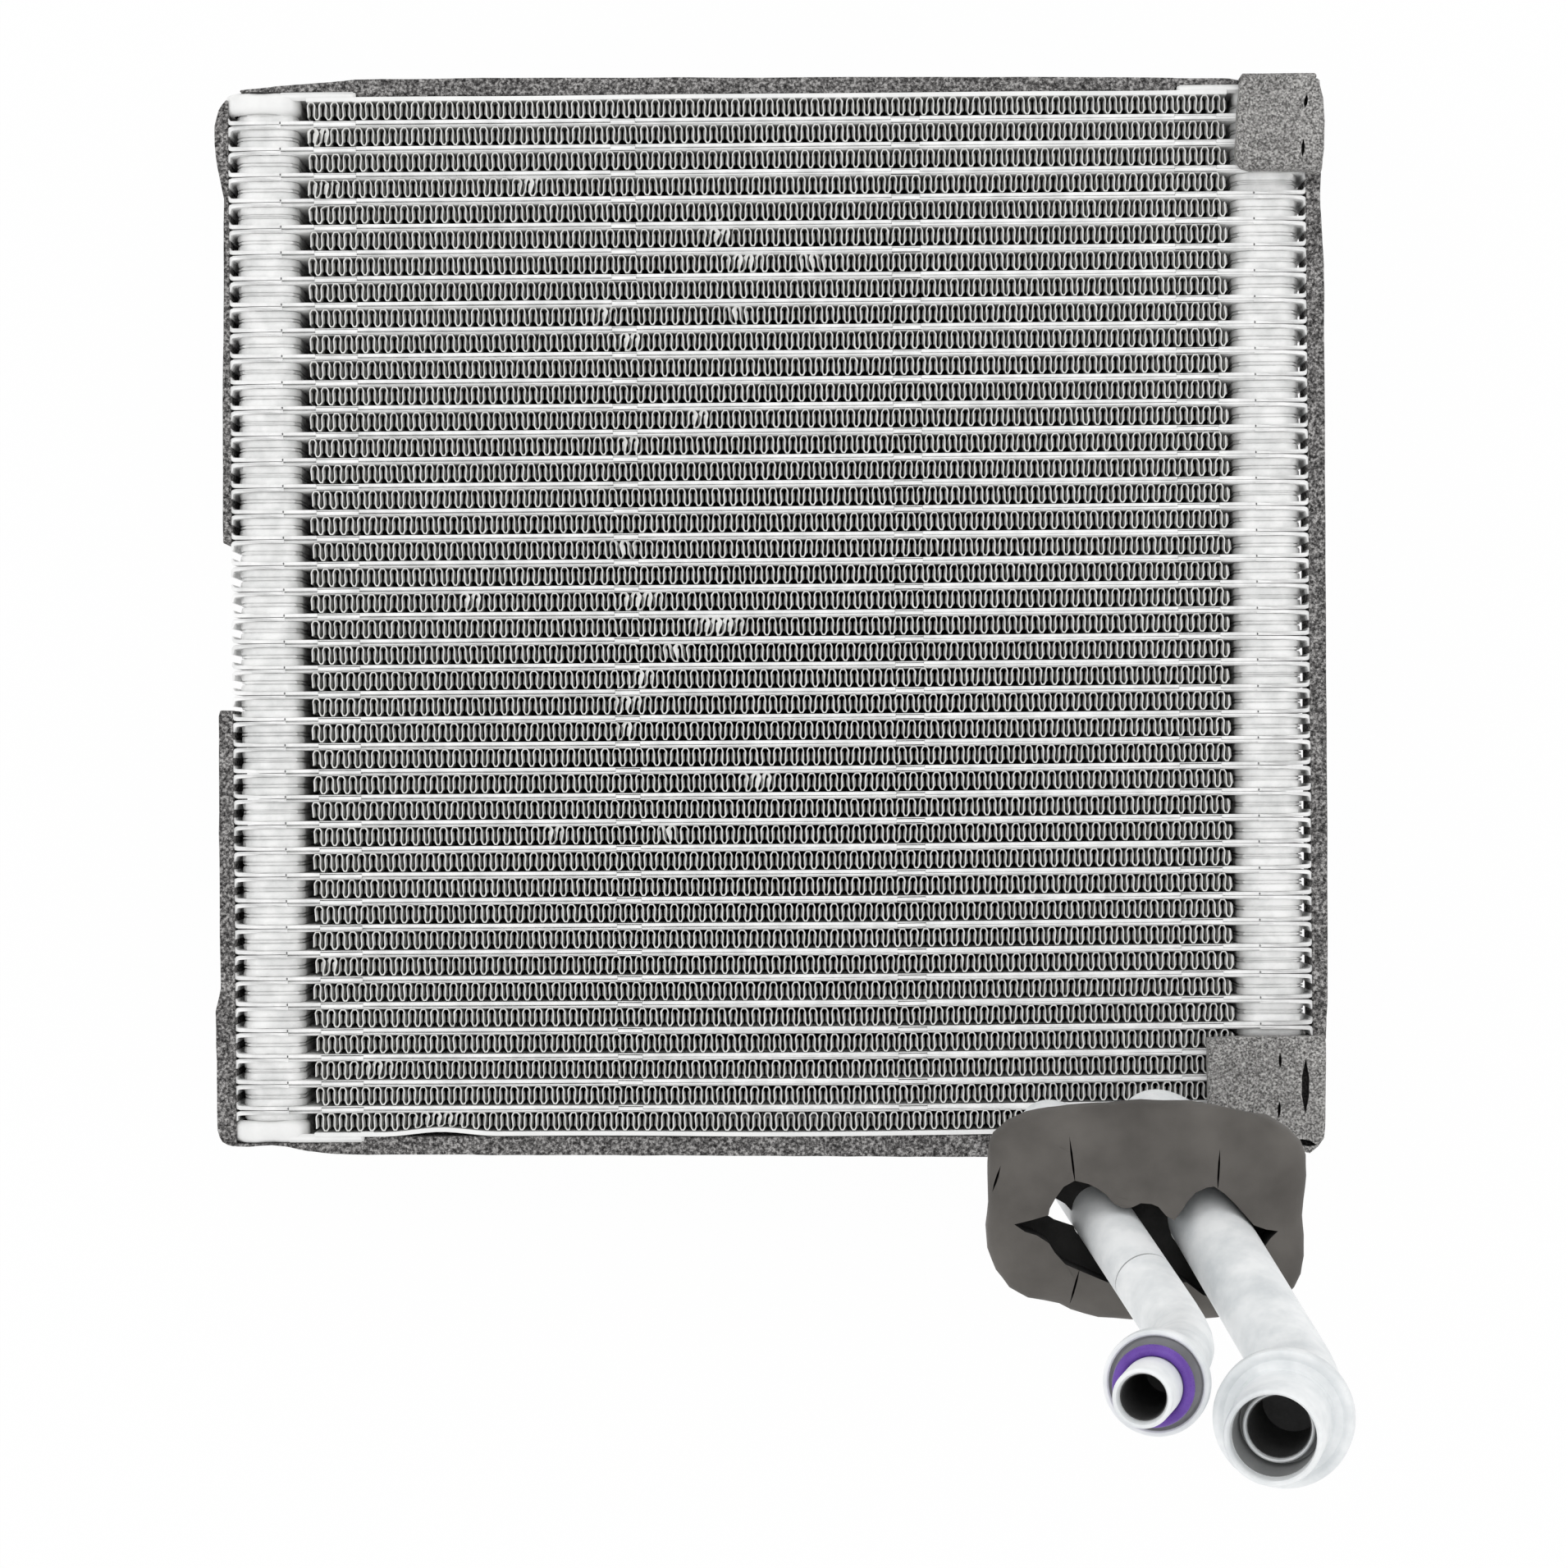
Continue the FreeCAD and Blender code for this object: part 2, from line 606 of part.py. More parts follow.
def turned(name, pipe_name, corners):
    """Body revolved from a half section of radius and height above the flange."""
    body = doc.addObject("PartDesign::Body", name)
    section = body.newObject("Sketcher::SketchObject", f"{name}_section")
    section.AttachmentSupport = (origin_plane(body, "XZ_Plane"), [""])
    section.MapMode = "FlatFace"
    outline(section, corners)
    revolved = body.newObject("PartDesign::Revolution", f"{name}_revolved")
    revolved.Profile = section
    revolved.ReferenceAxis = (section, ["V_Axis"])
    revolved.Angle = 360
    body.Tip = revolved
    body.Placement = FreeCAD.Placement(
        corner_point(pipe_name, "end"),
        FreeCAD.Rotation(FreeCAD.Vector(0, 0, 1), fitting_axis(pipe_name)),
    )
    return body


def flange_section(name):
    """Sleeve, flange and dished face, which both pipe ends share."""
    sleeve = f"(sizes.{name}_outer / 2 + sizes.sleeve_wall)"
    flange = f"(sizes.{name}_flange / 2)"
    foot = "-(sizes.flange_sheet + sizes.sleeve_length)"
    return [
        ("0", foot),
        (sleeve, foot),
        (sleeve, "-sizes.flange_sheet"),
        (flange, "-sizes.flange_sheet"),
        (flange, "0"),
        (f"{flange} - sizes.rim_width", "0"),
        (f"{flange} - sizes.rim_width - sizes.dish_depth", "-sizes.dish_depth"),
        (f"sizes.{name}_nose / 2", "-sizes.dish_depth"),
    ]


def suction_section():
    """Half section with a deep socket and a raised lip at its bottom."""
    nose = "(sizes.suction_nose / 2)"
    inside = f"({nose} - sizes.suction_nose_wall)"
    tip = "sizes.suction_nose_length"
    seat = f"({tip} - sizes.suction_seat_depth)"
    lip_top = f"({seat} + sizes.suction_lip_rise)"
    return flange_section("suction") + [
        (nose, tip),
        (inside, tip),
        (inside, seat),
        ("sizes.suction_lip / 2", seat),
        ("sizes.suction_lip / 2", lip_top),
        ("0", lip_top),
    ]


GROOVE_FLOOR = "(sizes.liquid_nose / 2 - sizes.groove_depth)"
RING_TOP = "(sizes.ring_place + sizes.ring_section)"


def liquid_section():
    """Half section with a bevelled nose and a shallow groove for the O-ring."""
    nose = "(sizes.liquid_nose / 2)"
    tip = "sizes.liquid_nose_length"
    foot = "(sizes.ring_place - sizes.ring_side_gap)"
    head = f"({RING_TOP} + sizes.ring_side_gap)"
    return flange_section("liquid") + [
        (nose, foot),
        (GROOVE_FLOOR, foot),
        (GROOVE_FLOOR, head),
        (nose, head),
        (nose, f"{tip} - sizes.nose_bevel"),
        (f"{nose} - sizes.nose_bevel", tip),
        ("0", tip),
    ]


def o_ring():
    """Six-sided ring in the groove of the liquid pipe's nose."""
    inside = f"({GROOVE_FLOOR} + sizes.ring_gap)"
    middle = f"({inside} + sizes.ring_section / 2)"
    outside = f"({inside} + sizes.ring_section)"
    centre = "(sizes.ring_place + sizes.ring_section / 2)"
    low = f"({centre} - sizes.ring_flat / 2)"
    high = f"({centre} + sizes.ring_flat / 2)"
    corners = [
        (inside, low), (middle, "sizes.ring_place"), (outside, low),
        (outside, high), (middle, RING_TOP), (inside, high),
    ]
    return turned("o_ring", "liquid", corners)


def pipe(name, section):
    """Bent pipe with its brazed end as one piece, bored from the end."""
    corners = pipe_corners(name)
    radii = [size(f"{name}_bend"), size(f"{name}_set")]
    route = doc.addObject("Part::Feature", f"{name}_route")
    route.Shape = rounded_route(corners, radii)
    bar = swept(f"{name}_bar", route, corners[0], corners[1] - corners[0],
                f"sizes.{name}_outer / 2")
    metal = fuse(f"{name}_metal", [bar, turned(f"{name}_end", name, section)])
    axis = fitting_axis(name)
    inner_end = corners[-1] - axis * size("bore_depth")
    bore = rod(
        f"{name}_bore_tool", inner_end, axis, f"sizes.{name}_bore / 2",
        f"sizes.bore_depth + sizes.flange_sheet + 2 * sizes.{name}_nose_length",
    )
    return cut(f"{name}_pipe", metal, bore)


# Moulded seal pad, with a close hole round the suction pipe and a wide one
def seal_pad():
    """Rounded pad that both pipes pass through."""
    centre_x = f"({HALF_WIDTH} - sizes.seal_inset)"
    centre_y = f"(-{DOME_TOP} - sizes.seal_drop)"
    back = "(sizes.core_depth + sizes.seal_reach)"
    blank = box(
        "seal_blank",
        (f"({centre_x} - sizes.seal_width / 2)", f"({centre_x} + sizes.seal_width / 2)"),
        (f"({centre_y} - sizes.seal_length / 2)", f"({centre_y} + sizes.seal_length / 2)"),
        (back, f"({back} + sizes.seal_sheet)"),
    )
    doc.recompute()
    rounded = doc.addObject("Part::Fillet", "seal_rounded")
    rounded.Base = blank
    corner = size("seal_corner")
    rounded.Edges = [
        (number, corner, corner)
        for number, edge in enumerate(blank.Shape.Edges, start=1)
        if abs(edge.tangentAt(edge.FirstParameter).z) > 0.5
    ]
    holes = []
    for name, radius in (
        ("suction", "sizes.suction_outer / 2 + sizes.soft_gap"),
        ("liquid", "sizes.seal_small_hole / 2"),
    ):
        elbow, easy_bend = pipe_corners(name)[1:3]
        holes.append(rod(f"{name}_hole", elbow, (easy_bend - elbow).normalize(), radius,
                         "sizes.seal_reach + 2 * sizes.seal_sheet"))
    return [cut("seal_pad", rounded, fuse("seal_holes", holes))]


subparts = (
    tubes() + fins() + side_plates() + end_caps() + side_tapes() + edge_bands()
    + corner_pads() + connector_block() + seal_pad()
    + [pipe("suction", suction_section()), pipe("liquid", liquid_section()), o_ring()]
)
doc.recompute()

# Every object has to be sound before anything is written
for thing in doc.Objects:
    if {"Invalid", "Error"} & set(thing.State):
        raise RuntimeError(f"{thing.Label}: {thing.State}")
for subpart in subparts:
    if subpart.Shape.isNull() or not subpart.Shape.isValid():
        raise RuntimeError(f"{subpart.Label} has no sound shape")

for subpart in subparts:
    subpart.Shape.exportStep(f"parts/{subpart.Label}.step")
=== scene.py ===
"""Evaporator core of a vehicle air conditioner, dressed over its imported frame.

The classes hold lengths in millimetres on the frame's axes: X across the core, Y up the tube
stack, Z out of the front face. A mesh is brought to metres when it becomes a piece.
"""

import logging
import math
from dataclasses import dataclass
from enum import Enum
from typing import Callable, Iterable, Optional, Sequence

import bmesh
import bpy
from mathutils import Matrix, Vector, noise


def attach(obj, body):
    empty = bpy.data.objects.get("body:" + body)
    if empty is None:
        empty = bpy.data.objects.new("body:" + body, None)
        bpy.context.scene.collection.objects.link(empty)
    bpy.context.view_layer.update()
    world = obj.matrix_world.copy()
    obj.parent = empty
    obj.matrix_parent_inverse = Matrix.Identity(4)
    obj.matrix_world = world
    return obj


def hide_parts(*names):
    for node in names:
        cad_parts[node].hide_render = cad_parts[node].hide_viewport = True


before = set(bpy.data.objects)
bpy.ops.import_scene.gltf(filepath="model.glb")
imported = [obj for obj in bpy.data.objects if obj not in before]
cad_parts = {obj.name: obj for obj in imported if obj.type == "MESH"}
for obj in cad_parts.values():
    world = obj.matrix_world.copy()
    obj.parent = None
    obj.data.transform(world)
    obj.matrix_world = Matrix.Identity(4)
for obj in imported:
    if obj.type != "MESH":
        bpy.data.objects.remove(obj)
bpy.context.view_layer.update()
LOG = logging.getLogger("evaporator_core")
MM = 0.001
Pair = tuple[float, float]
Triple = tuple[float, float, float]


class Slot(Enum):
    """Material slots of the record."""

    PLATE = "stamped_plate"
    FIN = "fin_sheet"
    END = "end_sheet"
    PIPE = "drawn_pipe"
    BLOCK = "machined_block"
    TAPE = "foam_tape"
    CORNER = "corner_foam"
    SEAL = "moulded_seal"
    RING = "ring_rubber"


class Side(Enum):
    """Left or right half of the core, as a sign on X."""

    LEFT = -1
    RIGHT = 1


class Recipe:
    """Node graph of one material, fed by Object coordinates in millimetres."""

    def __init__(self, name: str) -> None:
        """Start a material with its shader and a coordinate source.

        Args:
            name: Name of the material.
        """
        self.material = bpy.data.materials.new(name)
        self.material.use_nodes = True
        self.tree = self.material.node_tree
        self.shader = self.tree.nodes["Principled BSDF"]
        place = self.add("ShaderNodeTexCoord")
        scale = self.add("ShaderNodeMapping")
        scale.inputs["Scale"].default_value = (1 / MM,) * 3
        self.join(place.outputs["Object"], scale.inputs["Vector"])
        self.place = scale.outputs["Vector"]

    def add(self, kind: str) -> bpy.types.Node:
        """Add a node of a kind."""
        return self.tree.nodes.new(kind)

    def join(self, source: bpy.types.NodeSocket, target: bpy.types.NodeSocket) -> None:
        """Link two sockets."""
        self.tree.links.new(source, target)

    def speckle(self, grain: float, detail: float = 3.0, stretch: Triple = (1, 1, 1),
                rough: float = 0.5) -> bpy.types.NodeSocket:
        """Noise of a grain size.

        Args:
            grain: Size of a grain in millimetres.
            detail: Octaves.
            stretch: Scale along each axis, above 1 for a shorter grain there.
            rough: Share of the fine octaves.

        Returns:
            Socket with values about 0.5.
        """
        turn = self.add("ShaderNodeMapping")
        turn.inputs["Scale"].default_value = stretch
        self.join(self.place, turn.inputs["Vector"])
        node = self.add("ShaderNodeTexNoise")
        node.inputs["Scale"].default_value = 1 / grain
        node.inputs["Detail"].default_value = detail
        node.inputs["Roughness"].default_value = rough
        self.join(turn.outputs["Vector"], node.inputs["Vector"])
        return node.outputs["Fac"]

    def ramp(self, source: bpy.types.NodeSocket,
             stops: Sequence[tuple[float, Triple]]) -> bpy.types.NodeSocket:
        """Colour ramp over a value.

        Args:
            source: Value from 0 to 1.
            stops: Position and colour of each stop.

        Returns:
            Colour socket.
        """
        node = self.add("ShaderNodeValToRGB")
        marks = node.color_ramp.elements
        while len(marks) < len(stops):
            marks.new(0.5)
        for mark, (position, colour) in zip(marks, stops):
            mark.position = position
            mark.color = (*colour, 1)
        self.join(source, node.inputs["Fac"])
        return node.outputs["Color"]

    def multiply(self, first: bpy.types.NodeSocket,
                 second: bpy.types.NodeSocket) -> bpy.types.NodeSocket:
        """Multiply two colours.

        Args:
            first: First colour.
            second: Second colour.

        Returns:
            Colour socket.
        """
        node = self.add("ShaderNodeMix")
        node.data_type = "RGBA"
        node.blend_type = "MULTIPLY"
        node.inputs[0].default_value = 1.0
        self.join(first, node.inputs[6])
        self.join(second, node.inputs[7])
        return node.outputs[2]

    def band(self, source: bpy.types.NodeSocket, low: Pair, high: Pair) -> bpy.types.NodeSocket:
        """Map a value from one range to another.

        Args:
            source: Value to map.
            low: Lowest value in, and what it becomes.
            high: Highest value in, and what it becomes.

        Returns:
            Socket with the mapped value.
        """
        node = self.add("ShaderNodeMapRange")
        for name, value in (("From Min", low[0]), ("To Min", low[1]),
                            ("From Max", high[0]), ("To Max", high[1])):
            node.inputs[name].default_value = value
        self.join(source, node.inputs["Value"])
        return node.outputs["Result"]

    def relief(self, height: bpy.types.NodeSocket, depth: float, strength: float) -> None:
        """Bump the surface by a height.

        Args:
            height: Height from 0 to 1.
            depth: Depth of the relief in millimetres.
            strength: Share of the relief that shows.
        """
        node = self.add("ShaderNodeBump")
        node.inputs["Distance"].default_value = depth * MM
        node.inputs["Strength"].default_value = strength
        self.join(height, node.inputs["Height"])
        self.join(node.outputs["Normal"], self.shader.inputs["Normal"])

    def paint(self, colour: bpy.types.NodeSocket) -> None:
        """Give the shader its colour."""
        self.join(colour, self.shader.inputs["Base Color"])

    def gloss(self, roughness: bpy.types.NodeSocket) -> None:
        """Give the shader its roughness."""
        self.join(roughness, self.shader.inputs["Roughness"])


@dataclass(frozen=True)
class SheetFinish:
    """Matt brazed or drawn aluminium with stains and a fine grain."""

    name: str
    slot: Slot
    clean: Triple
    stained: Triple
    roughness: float = 0.52
    metal: float = 0.15
    grain: float = 0.35
    stain: float = 9.0
    stain_range: Pair = (0.3, 0.62)
    spread: Pair = (-0.06, 0.1)
    depth: float = 0.03
    strength: float = 0.5

    def material(self) -> bpy.types.Material:
        """Build the material.

        Returns:
            Material with its node graph.
        """
        recipe = Recipe(self.name)
        recipe.shader.inputs["Metallic"].default_value = self.metal
        stains = recipe.speckle(self.stain, 4.0, rough=0.6)
        grain = recipe.speckle(self.grain, 2.0)
        tones = zip(self.stain_range, (self.stained, self.clean))
        recipe.paint(recipe.ramp(stains, tuple(tones)))
        low, high = (self.roughness + change for change in self.spread)
        recipe.gloss(recipe.band(grain, (0.3, low), (0.7, high)))
        recipe.relief(grain, self.depth, self.strength)
        return recipe.material


@dataclass(frozen=True)
class LouvreFinish:
    """Thin fin sheet with louvres pressed across its depth."""

    name: str
    slot: Slot
    bright: Triple
    dull: Triple
    pitch: float = 1.1
    metal: float = 0.15
    distortion: float = 0.4
    stain: float = 2.4
    roughness: Pair = (0.34, 0.5)
    depth: float = 0.25
    strength: float = 0.6

    def material(self) -> bpy.types.Material:
        """Build the material.

        Returns:
            Material with its node graph.
        """
        recipe = Recipe(self.name)
        recipe.shader.inputs["Metallic"].default_value = self.metal
        wave = recipe.add("ShaderNodeTexWave")
        wave.bands_direction = "Z"
        wave.wave_profile = "SAW"
        wave.inputs["Scale"].default_value = 1 / (self.pitch * 3.2)
        wave.inputs["Distortion"].default_value = self.distortion
        recipe.join(recipe.place, wave.inputs["Vector"])
        stains = recipe.speckle(self.stain, 3.0)
        recipe.paint(recipe.ramp(stains, ((0.35, self.dull), (0.65, self.bright))))
        low, high = self.roughness
        recipe.gloss(recipe.band(stains, (0.3, low), (0.7, high)))
        recipe.relief(wave.outputs["Fac"], self.depth, self.strength)
        return recipe.material


@dataclass(frozen=True)
class FoamFinish:
    """Open-cell foam: dark pits and pale cell walls."""

    name: str
    slot: Slot
    pit: Triple
    middle: Triple
    wall: Triple
    cell: float = 0.55
    depth: float = 0.45
    strength: float = 0.8
    patch: float = 9.0
    shade: Triple = (0.78, 0.78, 0.78)
    shine: float = 0.25
    roughness: Pair = (0.95, 0.75)

    def material(self) -> bpy.types.Material:
        """Build the material.

        Returns:
            Material with its node graph.
        """
        recipe = Recipe(self.name)
        recipe.shader.inputs["Specular IOR Level"].default_value = self.shine
        fine = recipe.speckle(self.cell, 3.0, rough=0.65)
        wide = recipe.speckle(self.patch, 2.0)
        speckled = recipe.ramp(fine, ((0.36, self.pit), (0.5, self.middle), (0.66, self.wall)))
        shade = recipe.ramp(wide, ((0.3, self.shade), (0.7, (1.0, 1.0, 1.0))))
        recipe.paint(recipe.multiply(speckled, shade))
        low, high = self.roughness
        recipe.gloss(recipe.band(fine, (0.3, low), (0.7, high)))
        recipe.relief(fine, self.depth, self.strength)
        return recipe.material


@dataclass(frozen=True)
class SkinFinish:
    """Smooth moulded skin with faint mottling."""

    name: str
    slot: Slot
    dark: Triple
    light: Triple
    roughness: float = 0.62
    mottle: float = 14.0
    grain: float = 0.3
    spread: Pair = (-0.05, 0.08)
    shine: float = 0.3
    depth: float = 0.04
    strength: float = 0.4

    def material(self) -> bpy.types.Material:
        """Build the material.

        Returns:
            Material with its node graph.
        """
        recipe = Recipe(self.name)
        recipe.shader.inputs["Specular IOR Level"].default_value = self.shine
        wide = recipe.speckle(self.mottle, 3.0)
        fine = recipe.speckle(self.grain, 2.0)
        recipe.paint(recipe.ramp(wide, ((0.3, self.dark), (0.7, self.light))))
        low, high = (self.roughness + change for change in self.spread)
        recipe.gloss(recipe.band(fine, (0.3, low), (0.7, high)))
        recipe.relief(fine, self.depth, self.strength)
        return recipe.material


PLATE = SheetFinish("brazed_plate", Slot.PLATE, (0.95, 0.95, 0.945), (0.74, 0.745, 0.74),
                    metal=0.1, stain=5.5)
END = SheetFinish("end_plate", Slot.END, (0.90, 0.90, 0.89), (0.80, 0.805, 0.80), metal=0.1)
PIPE = SheetFinish("drawn_tube", Slot.PIPE, (0.93, 0.945, 0.95), (0.70, 0.73, 0.745),
                   roughness=0.5, metal=0.1, stain=11.0, grain=0.5, depth=0.02)
# Near-black lining down the fittings' bores: painted shade inside the bore.
BORE_SHADE = SheetFinish("painted_shade_bore", Slot.PIPE, (0.075, 0.075, 0.075), (0.03, 0.03, 0.03),
                   roughness=0.6, metal=0.1)
# Grey ring laid in the fittings' dishes: painted shade. The same grey also marks the pipe's joint
# line.
DISH_SHADE_AND_JOINT = SheetFinish("dish_shade_and_joint", Slot.PIPE, (0.34, 0.345, 0.345), (0.25, 0.255, 0.255),
                   metal=0.1)
BLOCK = SheetFinish("milled_block", Slot.BLOCK, (0.68, 0.685, 0.68), (0.56, 0.57, 0.56),
                    roughness=0.42, grain=0.8)
FIN = LouvreFinish("louvred_fin", Slot.FIN, (0.80, 0.80, 0.785), (0.68, 0.68, 0.655))
TAPE = FoamFinish("edge_tape", Slot.TAPE, (0.02, 0.019, 0.019), (0.15, 0.145, 0.143),
                  (0.54, 0.527, 0.518), cell=0.68)
CORNER = FoamFinish("corner_pad", Slot.CORNER, (0.08, 0.078, 0.075), (0.31, 0.303, 0.295),
                    (0.70, 0.688, 0.67), cell=0.5)
# Near-black finish of the corner pads' slit walls: painted shade in the slits.
SLIT_SHADE = FoamFinish("painted_shade_slit", Slot.CORNER, (0.02, 0.02, 0.02), (0.05, 0.048, 0.046),
                  (0.10, 0.097, 0.093))
SEAL = SkinFinish("moulded_skin", Slot.SEAL, (0.070, 0.064, 0.058), (0.122, 0.113, 0.103))
# Near-black finish of the seal pad's carved recess, passages and slits: painted shade in the
# hollows.
CUT_SHADE = SkinFinish("painted_shade_seal_cuts", Slot.SEAL, (0.016, 0.0155, 0.015), (0.032, 0.031, 0.03),
                 roughness=0.8, mottle=6.0)
RING = SkinFinish("ring_skin", Slot.RING, (0.115, 0.045, 0.31), (0.18, 0.085, 0.45),
                  roughness=0.3, mottle=5.0)
Finish = SheetFinish | LouvreFinish | FoamFinish | SkinFinish
DRESSED: dict[str, bpy.types.Material] = {}


def material_of(finish: Finish) -> bpy.types.Material:
    """Material of a finish, built once.

    Args:
        finish: Finish to look up.

    Returns:
        Its material.
    """
    if finish.name not in DRESSED:
        DRESSED[finish.name] = finish.material()
    return DRESSED[finish.name]


def to_mesh(bm: bmesh.types.BMesh, name: str) -> bpy.types.Mesh:
    """Keep a working mesh as a named one.

    Args:
        bm: Working mesh, which is freed.
        name: Name of the new mesh.

    Returns:
        The new mesh.
    """
    mesh = bpy.data.meshes.new(name)
    bm.to_mesh(mesh)
    bm.free()
    return mesh


def make_piece(bm: bmesh.types.BMesh, name: str, finish: Finish, nodes: Iterable[str] = (),
               crease: float = 40.0,
               inside: Optional[Finish] = None) -> None:
    """Turn a mesh in millimetres into a dressed piece of the core.

    Args:
        bm: Finished mesh, which is freed.
        name: Name of the piece.
        finish: Its finish.
        nodes: Solids that it stands for.
        crease: Angle above which an edge stays sharp, in degrees.
        inside: Finish of the faces that were carved, if it is another; the pads give them a
            near-black one, which is painted shade.
    """
    bmesh.ops.scale(bm, vec=(MM,) * 3, verts=bm.verts)
    for face in bm.faces:
        face.smooth = True
        if inside is None:
            face.material_index = 0
    limit = math.radians(crease)
    for edge in bm.edges:
        edge.smooth = edge.calc_face_angle(math.pi) < limit
    mesh = to_mesh(bm, name)
    mesh.materials.append(material_of(finish))
    if inside is not None:
        mesh.materials.append(material_of(inside))
    piece = bpy.data.objects.new(name, mesh)
    bpy.context.scene.collection.objects.link(piece)
    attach(piece, "root")
    if nodes:
        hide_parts(*nodes)
    LOG.info("%s: %d faces, for %s", name, len(mesh.polygons), ", ".join(nodes) or "itself")


def vertices(geometry: Iterable) -> list[bmesh.types.BMVert]:
    """Vertices among the results of an operator."""
    return [item for item in geometry if isinstance(item, bmesh.types.BMVert)]


def edges(geometry: Iterable) -> list[bmesh.types.BMEdge]:
    """Edges among the results of an operator."""
    return [item for item in geometry if isinstance(item, bmesh.types.BMEdge)]


def faces(geometry: Iterable) -> list[bmesh.types.BMFace]:
    """Faces among the results of an operator."""
    return [item for item in geometry if isinstance(item, bmesh.types.BMFace)]


def lines_of(verts: Iterable[bmesh.types.BMVert]) -> list[bmesh.types.BMEdge]:
    """Edges that meet some vertices."""
    return list({line for vertex in verts for line in vertex.link_edges})


def ends_of(lines: Iterable[bmesh.types.BMEdge]) -> list[bmesh.types.BMVert]:
    """Vertices of some edges."""
    return list({vertex for line in lines for vertex in line.verts})


def facing(direction: Vector, place: Sequence[float]) -> Matrix:
    """Matrix that turns Z to a direction and then moves to a place."""
    turn = Vector((0, 0, 1)).rotation_difference(direction).to_matrix().to_4x4()
    return Matrix.Translation(place) @ turn


def soften(bm: bmesh.types.BMesh, rim: Sequence[bmesh.types.BMEdge], width: float,
           segments: int = 1) -> None:
    """Round some edges over."""
    bmesh.ops.bevel(bm, geom=list(rim), offset=width, offset_type="OFFSET", segments=segments,
                    profile=0.5, affect="EDGES", material=-1, clamp_overlap=True)


def slab(bm: bmesh.types.BMesh, x: Pair, y: Pair, z: Pair, edge: float = 0.0,
         rake: float = 0.0) -> None:
    """Add a block between three ranges.

    Args:
        bm: Mesh that gets the block.
        x: Range along X.
        y: Range along Y.
        z: Range along Z.
        edge: Width of the softened edges.
        rake: How far the front's lower edge lies back.
    """
    middle = Vector((sum(x), sum(y), sum(z))) / 2
    size = (x[1] - x[0], y[1] - y[0], z[1] - z[0], 1)
    place = Matrix.Translation(middle) @ Matrix.Diagonal(size)
    made = bmesh.ops.create_cube(bm, size=1, matrix=place)
    for vertex in made["verts"]:
        if vertex.co.y < middle.y and vertex.co.z > middle.z:
            vertex.co.z -= rake
    if edge:
        soften(bm, lines_of(made["verts"]), edge)


def prism(bm: bmesh.types.BMesh, outline: Sequence[Pair], z: Pair) -> list[bmesh.types.BMVert]:
    """Push a closed outline through a depth.

    Args:
        bm: Mesh that gets the prism.
        outline: Corners in the XY plane.
        z: Back and front.

    Returns:
        Vertices of the front face.
    """
    corners = [bm.verts.new((x, y, z[0])) for x, y in outline]
    back = bm.faces.new(corners)
    grown = bmesh.ops.extrude_face_region(bm, geom=[back], use_keep_orig=True)
    front = vertices(grown["geom"])
    bmesh.ops.translate(bm, vec=(0, 0, z[1] - z[0]), verts=front)
    return front


@dataclass(frozen=True)
class Race:
    """Racetrack outline in the XZ plane: two half circles, drawn toward a square along X and Z."""

    centre: float
    half_width: float
    depth: Pair
    segments: int
    square: float

    def start(self, bm: bmesh.types.BMesh, y: float) -> list[bmesh.types.BMEdge]:
        """Add the outline at a height.

        Args:
            bm: Mesh that gets the ring.
            y: Height.

        Returns:
            Edges of the ring.
        """
        lying = Matrix.Rotation(math.pi / 2, 4, "X") @ Matrix.Rotation(
            math.pi / self.segments, 4, "Z")
        ring = bmesh.ops.create_circle(bm, cap_ends=False, radius=self.half_width,
                                       segments=self.segments, matrix=lying)["verts"]
        middle = sum(self.depth) / 2
        straight = (self.depth[1] - self.depth[0]) / 2 - self.half_width
        for vertex in ring:
            vertex.co.z += math.copysign(straight, vertex.co.z)
        bmesh.ops.translate(bm, vec=(self.centre, y, middle), verts=ring)
        return lines_of(ring)

    def draw(self, bm: bmesh.types.BMesh, ring: list[bmesh.types.BMEdge], y: float,
             inset: float) -> list[bmesh.types.BMEdge]:
        """Draw the wall on to a height.

        Args:
            bm: Mesh that holds the ring.
            ring: Edges to draw from.
            y: Height of the new ring.
            inset: How far inside the outline the new ring lies.

        Returns:
            Edges of the new ring.
        """
        made = bmesh.ops.extrude_edge_only(bm, edges=ring)["geom"]
        low = self.depth[0] + self.half_width
        high = self.depth[1] - self.half_width
        for vertex in vertices(made):
            axis = Vector((self.centre, vertex.co.y, min(max(vertex.co.z, low), high)))
            away = (vertex.co - axis).normalized()
            corner = 1 + self.square * (2 * away.x * away.z) ** 2
            vertex.co = axis + away * (self.half_width * corner - inset)
            vertex.co.y = y
        return edges(made)

    def wall(self, bm: bmesh.types.BMesh, levels: Sequence[Pair], closed: bool = False) -> None:
        """Build a drawn wall.

        Args:
            bm: Mesh that gets the wall.
            levels: Height and inset of each ring.
            closed: Whether the last ring is filled.
        """
        ring = self.draw(bm, self.start(bm, levels[0][0]), *levels[0])
        for y, inset in levels[1:]:
            ring = self.draw(bm, ring, y, inset)
        if closed:
            bmesh.ops.edgeloop_fill(bm, edges=ring)


